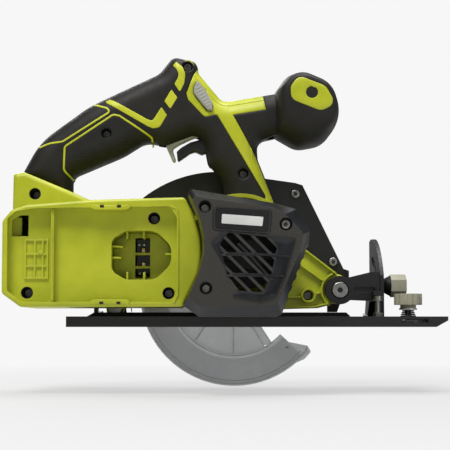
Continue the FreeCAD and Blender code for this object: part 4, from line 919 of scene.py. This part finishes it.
def build_bay_details():
    """Latch catches on the rim, guide ribs in the stem socket and the bars across its terminals."""
    for word, z, lean in (("top", 89.9, 1), ("bottom", 17.9, -1)):
        for x, end in ((-101.6, "_rear"), (-88.9, "_front")):
            wall("latch_slot_" + word + end, band([(x - 1.5, z), (x + 1.5, z)], 2.0), RIM_FACE - 2.0,
                 RIM_FACE + 1.15, BLACK, slot="black_plastic", edge=0.1, step=0.8)
        ridge = [(-109.5, z + 0.4 * lean), (-106.5, z - 0.9 * lean), (-84.0, z - 0.9 * lean),
                 (-81.0, z + 0.4 * lean)]
        wall("latch_ridge_" + word, band(ridge, 3.4, 0.8), RIM_FACE - 9.0, RIM_FACE + 1.0, LIME,
             edge=0.5, step=0.9)
    guides = [
        [(-95.6, 61.0), (-86.5, 60.4)], [(-95.6, 52.4), (-88.0, 52.0)], [(-83.5, 72.8), (-83.5, 66.5)],
        [(-70.9, 72.8), (-70.9, 67.0)], [(-83.3, 35.4), (-83.3, 41.4)], [(-70.6, 35.4), (-70.6, 41.0)],
        [(-49.8, 55.0), (-54.6, 55.0)],
    ]
    for i, line in enumerate(guides):
        wall("socket_guide_" + str(i + 1), band(line, 1.5, 0.8), 51.0, BAY_FLOOR - 4.0, LIME, edge=0.4,
             step=1.0)
    wall("socket_floor", rounded(SOCKET), 50.2, 52.0, LIME, holes=[rounded(TERMINAL_SLOT)], edge=0.4)
    for i, z in enumerate((56.2, 45.8)):
        wall("terminal_bar_" + str(i + 1), band([(-79.0, z), (-66.0, z)], 2.0, 0.8), 50.1, 52.0, LIME,
             edge=0.4)
    for i, (x, z) in enumerate(((-75.2, 63.2), (-71.4, 63.2), (-74.8, 41.0), (-71.0, 41.6))):
        wall("terminal_tip_" + str(i + 1), circle((x, z), 1.25, 20), 50.05, 51.4, STEEL, slot="steel",
             edge=1.0, step=0.7)
    pocket = rounded([(-174.5, 67, 1), (-174.5, 83, 2), (-163.4, 83, 0.5), (-163.4, 67, 0.5)])
    wall("key_pocket_floor", pocket, 66.0, 68.0, LIME, edge=0.5)
    wall("lattice_eye", circle((-147.8, 55.8), 1.9, 6), BAY_FLOOR, BAY_FLOOR + 2.3, LIME, edge=0.3,
         step=0.8)
    wall("bay_divider", band([(-139.2, 86.6), (-138.6, 19.2)], 1.5, 1.0), BAY_FLOOR - 0.5,
         RIM_FACE - 2.4, LIME, edge=0.35)
    rim_line = [(-50.5, 90.2), (-46.2, 88.6, 2.5), (-44.8, 82.0, 4), (-44.8, 24.0, 4), (-48.2, 17.6)]
    wall("bay_rim_front", band(rim_line, 1.7, 0.9), RIM_FACE - 1.0, RIM_FACE + 0.7, LIME, edge=0.5,
         step=1.0)


def build_cap_details():
    """The smooth sunk field round the vent, its ribs and brace, and a framed blank label."""
    field = rounded(VENT_FIELD, 1.2)
    window = rounded([(x, z, 1) for x, z in VENT_WINDOW], 1.2)

    def keep(points):
        return inside(field, points) & ~inside(window, points)

    def outer(points):
        rise = np.clip(reach([field], points) / 3.2, 0, 1)
        lip = np.clip(reach([window], points) / 1.0, 0, 1)
        return CAP_FACE + 1.15 - 0.95 * rise * (0.6 + 0.4 * lip)

    def inner(points):
        return np.full(len(points), CAP_FACE - 0.6)

    rings = np.concatenate([offsets(field, (0.5, 1.6, 3.0)), offsets(window, (0.4, 1.0))])
    spots, faces = triangles([field, window], keep, rings, 1.8)
    relief("cap_vent_field", spots, faces, outer, inner, -1, BLACK_SATIN, "housing", "cap_black")
    ribs = ([(-10.0, 52.8), (12.0, 52.6), (36.4, 50.4)], [(-5.0, 38.2), (16.0, 37.6), (32.0, 36.2)])
    for i, line in enumerate(ribs):
        wall("cap_vent_rib_" + str(i + 1), band(line, 1.7, 1.0), CAP_FACE - 1.0, CAP_FACE + 1.25,
             BLACK_SATIN, slot="cap_black", edge=0.5)
    wall("cap_vent_brace", band([(-1.0, 60.0), (8.6, 50.6), (23.6, 33.6)], 2.0, 1.0), CAP_FACE - 1.0,
         CAP_FACE + 1.0, BLACK_SATIN, slot="cap_black", edge=0.5)
    frame_line = [(-18.6, 86.6, 2), (23.6, 83.8, 2), (21.8, 67.4, 2), (-19.1, 70.0, 2), (-18.7, 85.0)]
    wall("name_frame", band(frame_line, 0.8, 0.9), CAP_FACE - 0.4, CAP_FACE + 0.45, BLACK_SATIN,
         slot="cap_black", edge=0.3)
    wall("name_label", rounded(NAME_LABEL, 0.9), CAP_FACE, CAP_FACE + 0.75, LABEL, slot="plate_grey",
         edge=0.25)


def shade_lining(name, at, radius, face, seat, side):
    """A black tube that lines a screw well, painted shade for the well's depth; on the side without a screw
    it has a floor.
    """
    angles = np.arange(32) * math.pi / 16
    profile = [(radius, face), (radius - 0.35, face + 0.05), (radius - 0.75, face - 0.5),
               (radius - 0.8, seat)]
    if side > 0:
        profile.append((0.3, seat - 0.1))
        profile.append((0.3, seat - 1.2))
    profile.append((radius, seat - 1.2 if side > 0 else seat))
    rings = [ring(at, side * y, angles, [radius] * len(angles)) for radius, y in profile]
    return loft(name, rings, BLACK, "housing", closed_ends=False)


def build_wells():
    """Black tubes as painted shade in the deep screw wells of handle, shell and cap."""
    for i, (at, seat) in enumerate(zip(HANDLE_SCREWS, HANDLE_SEATS)):
        rim = np.array([(at[0] + SCREW_WELL_R, at[1]), (at[0], at[1] - SCREW_WELL_R)])
        face = float(handle_dome(rim).min())
        shade_lining("handle_well_near_" + str(i + 1), at, SCREW_WELL_R, face - 0.2, seat, -1)
        shade_lining("handle_well_far_" + str(i + 1), at, SCREW_WELL_R, face - 0.2, max(11.2, face - 5), 1)
    for i, (x, z, radius, face, seat) in enumerate(SHELL_WELLS):
        shade_lining("shell_well_" + str(i + 1), (x, z), radius, face, seat + 0.1, -1)


def trigger_piece(name, outline, half, fillet, side, material, slot):
    """One half of a piece of the trigger, rounded over across its outline."""
    loop = rounded(outline, 0.8)

    def dome(points):
        depth = np.clip(reach([loop], points) / fillet, 0, 1)
        return half - fillet + fillet * np.sqrt(1 - (1 - depth)**2)

    spots, faces = triangles([loop], lambda p: inside(loop, p), offsets(loop, (0.4, 1.0, 1.8)), 1.2)
    return relief(name, spots, faces, dome, lambda p: np.zeros(len(p)), side, material, "trigger_lever",
                  slot)


def build_trigger():
    """A grey trigger body with a black finger pad let into its front."""
    for side, word in SIDES:
        piece = trigger_piece("trigger_body_" + word, TRIGGER_BODY, 5.9, 2.4, side, GREY, "grey_plastic")
        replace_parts(piece, "trigger")
        piece = trigger_piece("trigger_pad_" + word, TRIGGER_PAD, 5.95, 1.6, side, BLACK, "black_plastic")
        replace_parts(piece, "trigger_face")


def rebate_ring():
    """The narrow ring between the lock-off button and the lime frame."""
    hole = rounded(BUTTON_FACE, 0.7)
    middle = hole.mean(0)
    hole = middle + (hole - middle) * 1.035

    def keep(points):
        return inside(BUTTON_LOOP, points) & ~inside(hole, points)

    return triangles([BUTTON_LOOP, hole], keep, np.zeros((0, 2)), 1.2)


def build_lock_button():
    """The lock-off button on both sides: six slanting finger ridges, in a sunk rebate painted black as
    shade.
    """
    loop = rounded(BUTTON_FACE, 0.7)
    along = np.array(BUTTON_ACROSS)

    def top(points):
        near_edge = reach([loop], points)
        ridge = 0.5 + 0.5 * np.cos(2 * math.pi * (points @ along) / BUTTON_RIDGE)
        ridge = ridge**0.6 * np.clip((near_edge - 1.2) / 0.8, 0, 1)
        edge = np.clip(near_edge / 1.2, 0, 1)
        return BUTTON_END - 1.2 + 0.8 * np.sqrt(1 - (1 - edge)**2) + 0.4 * ridge

    spots, faces = triangles([loop], lambda p: inside(loop, p), offsets(loop, (0.3, 0.7, 1.2)), 0.6)
    rebate = rebate_ring()
    for side, word in SIDES:
        piece = relief("lock_off_" + word, spots, faces, top, lambda p: np.full(len(p), 2.0), side, GREY,
                       "lock_off", "grey_plastic")
        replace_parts(piece, "lock_off_button")
        # The rebate is black as painted shade in the gap round the button
        relief("lock_rebate_" + word, *rebate, lambda p: handle_dome(p) - 1.3,
               lambda p: handle_dome(p) - 3.4, side, BLACK, "housing", "black_plastic")


def star(name, at, radius, face):
    """A black six-lobed patch on a screw head, a hair proud of it: painted shade for its drive recess."""
    angles = np.arange(48) * math.pi / 24
    size = radius * (0.84 + 0.16 * np.cos(6 * angles))
    loop = np.stack([at[0] + size * np.cos(angles), at[1] + size * np.sin(angles)], 1)
    wall(name, loop, face - 0.3, face + 0.03, BLACK, slot="black_plastic", edge=0.05, step=0.8)


def build_recesses():
    """Painted shade for the drive recesses of the screws that catch the light."""
    for i, (x, z) in enumerate(((49.9, 109.2), (80.9, 53.1))):
        star("guard_screw_recess_" + str(i + 1), (x, z), 1.7, -12.4)
    star("cap_screw_recess", (33.7, 74.2), 1.7, 119.6)
    star("pivot_recess", PIVOT, 2.9, 20.5)


def build_guard_lines():
    """The rolled rim, the inner step and the two ribs moulded into the swinging guard."""
    def line(name, corners, width, rise):
        wall("guard_" + name, band(corners, width, 1.2), -GUARD_FACE - 0.6, -GUARD_FACE + rise, GUARD,
             "swing_guard", "clear_guard", edge=0.4)

    line("rim", arc_line(ARBOR, 76.8, 196, 322, 70), 1.3, 0.9)
    line("inner_rim", arc_line(ARBOR, 73.9, 198, 318, 66), 0.6, 0.5)
    line("step", arc_line(ARBOR, 53.5, 214, 302, 40), 0.8, 0.6)
    line("rib_rear", [(-24.0, 0.5), (-32.6, -12.6)], 0.8, 0.6)
    line("rib_middle", [(-0.6, -0.5), (-0.6, -23.6)], 0.8, 0.6)
    wall("guard_web", rounded(GUARD_WEB), -GUARD_FACE - 1.6, -GUARD_FACE, GUARD, "swing_guard",
         "clear_guard", edge=0.4)
    line("edge", [(21.9, 0.0), (30.0, -12.4)], 0.9, 0.6)
    wall("guard_rivet", circle((43.5, -17.4), 1.1, 20), -GUARD_FACE - 0.4, -GUARD_FACE + 0.8, ZINC,
         "swing_guard", "zinc_steel", edge=0.7, step=0.6)


# ---- camera, light and floor --------------------------


def build_stage():
    """The round floor that the sole stands over, which is kept out of the export."""
    mesh = bpy.data.meshes.new("floor")
    rim = [(FLOOR_RADIUS * math.cos(a), FLOOR_RADIUS * math.sin(a),
            FLOOR_Z * MM) for a in np.arange(64) * math.pi / 32]
    mesh.from_pydata(rim, [], [tuple(range(64))])
    floor = bpy.data.objects.new("floor", mesh)
    floor.data.materials.append(floor_paper())
    put(floor)


def lamp(name, at, aim, size, power):
    light = bpy.data.lights.new(name, "AREA")
    light.shape = "DISK"
    light.size = size
    light.energy = power
    thing = bpy.data.objects.new(name, light)
    thing.location = at
    thing.rotation_euler = (Vector(aim) - Vector(at)).to_track_quat("-Z", "Y").to_euler()
    put(thing)


def build_light():
    """A pale surround that lights little itself, and four round lamps."""
    world = bpy.data.worlds.new("studio")
    world.use_nodes = True
    tree = world.node_tree
    seen = tree.nodes["Background"]
    seen.inputs["Color"].default_value = (1.0, 1.0, 1.0, 1)
    seen.inputs["Strength"].default_value = PALE
    cast = tree.nodes.new("ShaderNodeBackground")
    cast.inputs["Color"].default_value = (1.0, 1.0, 1.0, 1)
    cast.inputs["Strength"].default_value = CAST
    ray = tree.nodes.new("ShaderNodeLightPath")
    mix = tree.nodes.new("ShaderNodeMixShader")
    tree.links.new(ray.outputs["Is Camera Ray"], mix.inputs["Fac"])
    tree.links.new(cast.outputs["Background"], mix.inputs[1])
    tree.links.new(seen.outputs["Background"], mix.inputs[2])
    tree.links.new(mix.outputs["Shader"], tree.nodes["World Output"].inputs["Surface"])
    bpy.context.scene.world = world
    lamp("key", (-0.35, -0.75, 1.25), AIM, 0.5, 15.5)
    lamp("top", (0.2, 0.1, 1.2), AIM, 0.8, 10)
    lamp("fill", (0.9, -1.0, 0.35), AIM, 0.9, 1.6)
    lamp("rim", (-0.4, 1.0, 0.7), AIM, 0.7, 6)


def build_camera():
    """The photograph's point of view."""
    camera = bpy.data.cameras.new("camera")
    camera.lens = LENS
    camera.sensor_width = 36.0
    camera.clip_start = 0.02
    thing = bpy.data.objects.new("camera", camera)
    thing.location = CAMERA_AT
    thing.rotation_euler = (math.radians(90 + CAMERA_TILT), 0, math.radians(CAMERA_YAW))
    put(thing)
    bpy.context.scene.camera = thing
    bpy.context.scene.view_settings.view_transform = "Standard"


dress_frame()
build_handle()
build_palm()
build_inlays()
build_knob()
build_arm_ribs()
build_bay_details()
build_cap_details()
build_wells()
build_trigger()
build_lock_button()
build_guard_lines()
build_recesses()
build_stage()
build_light()
build_camera()
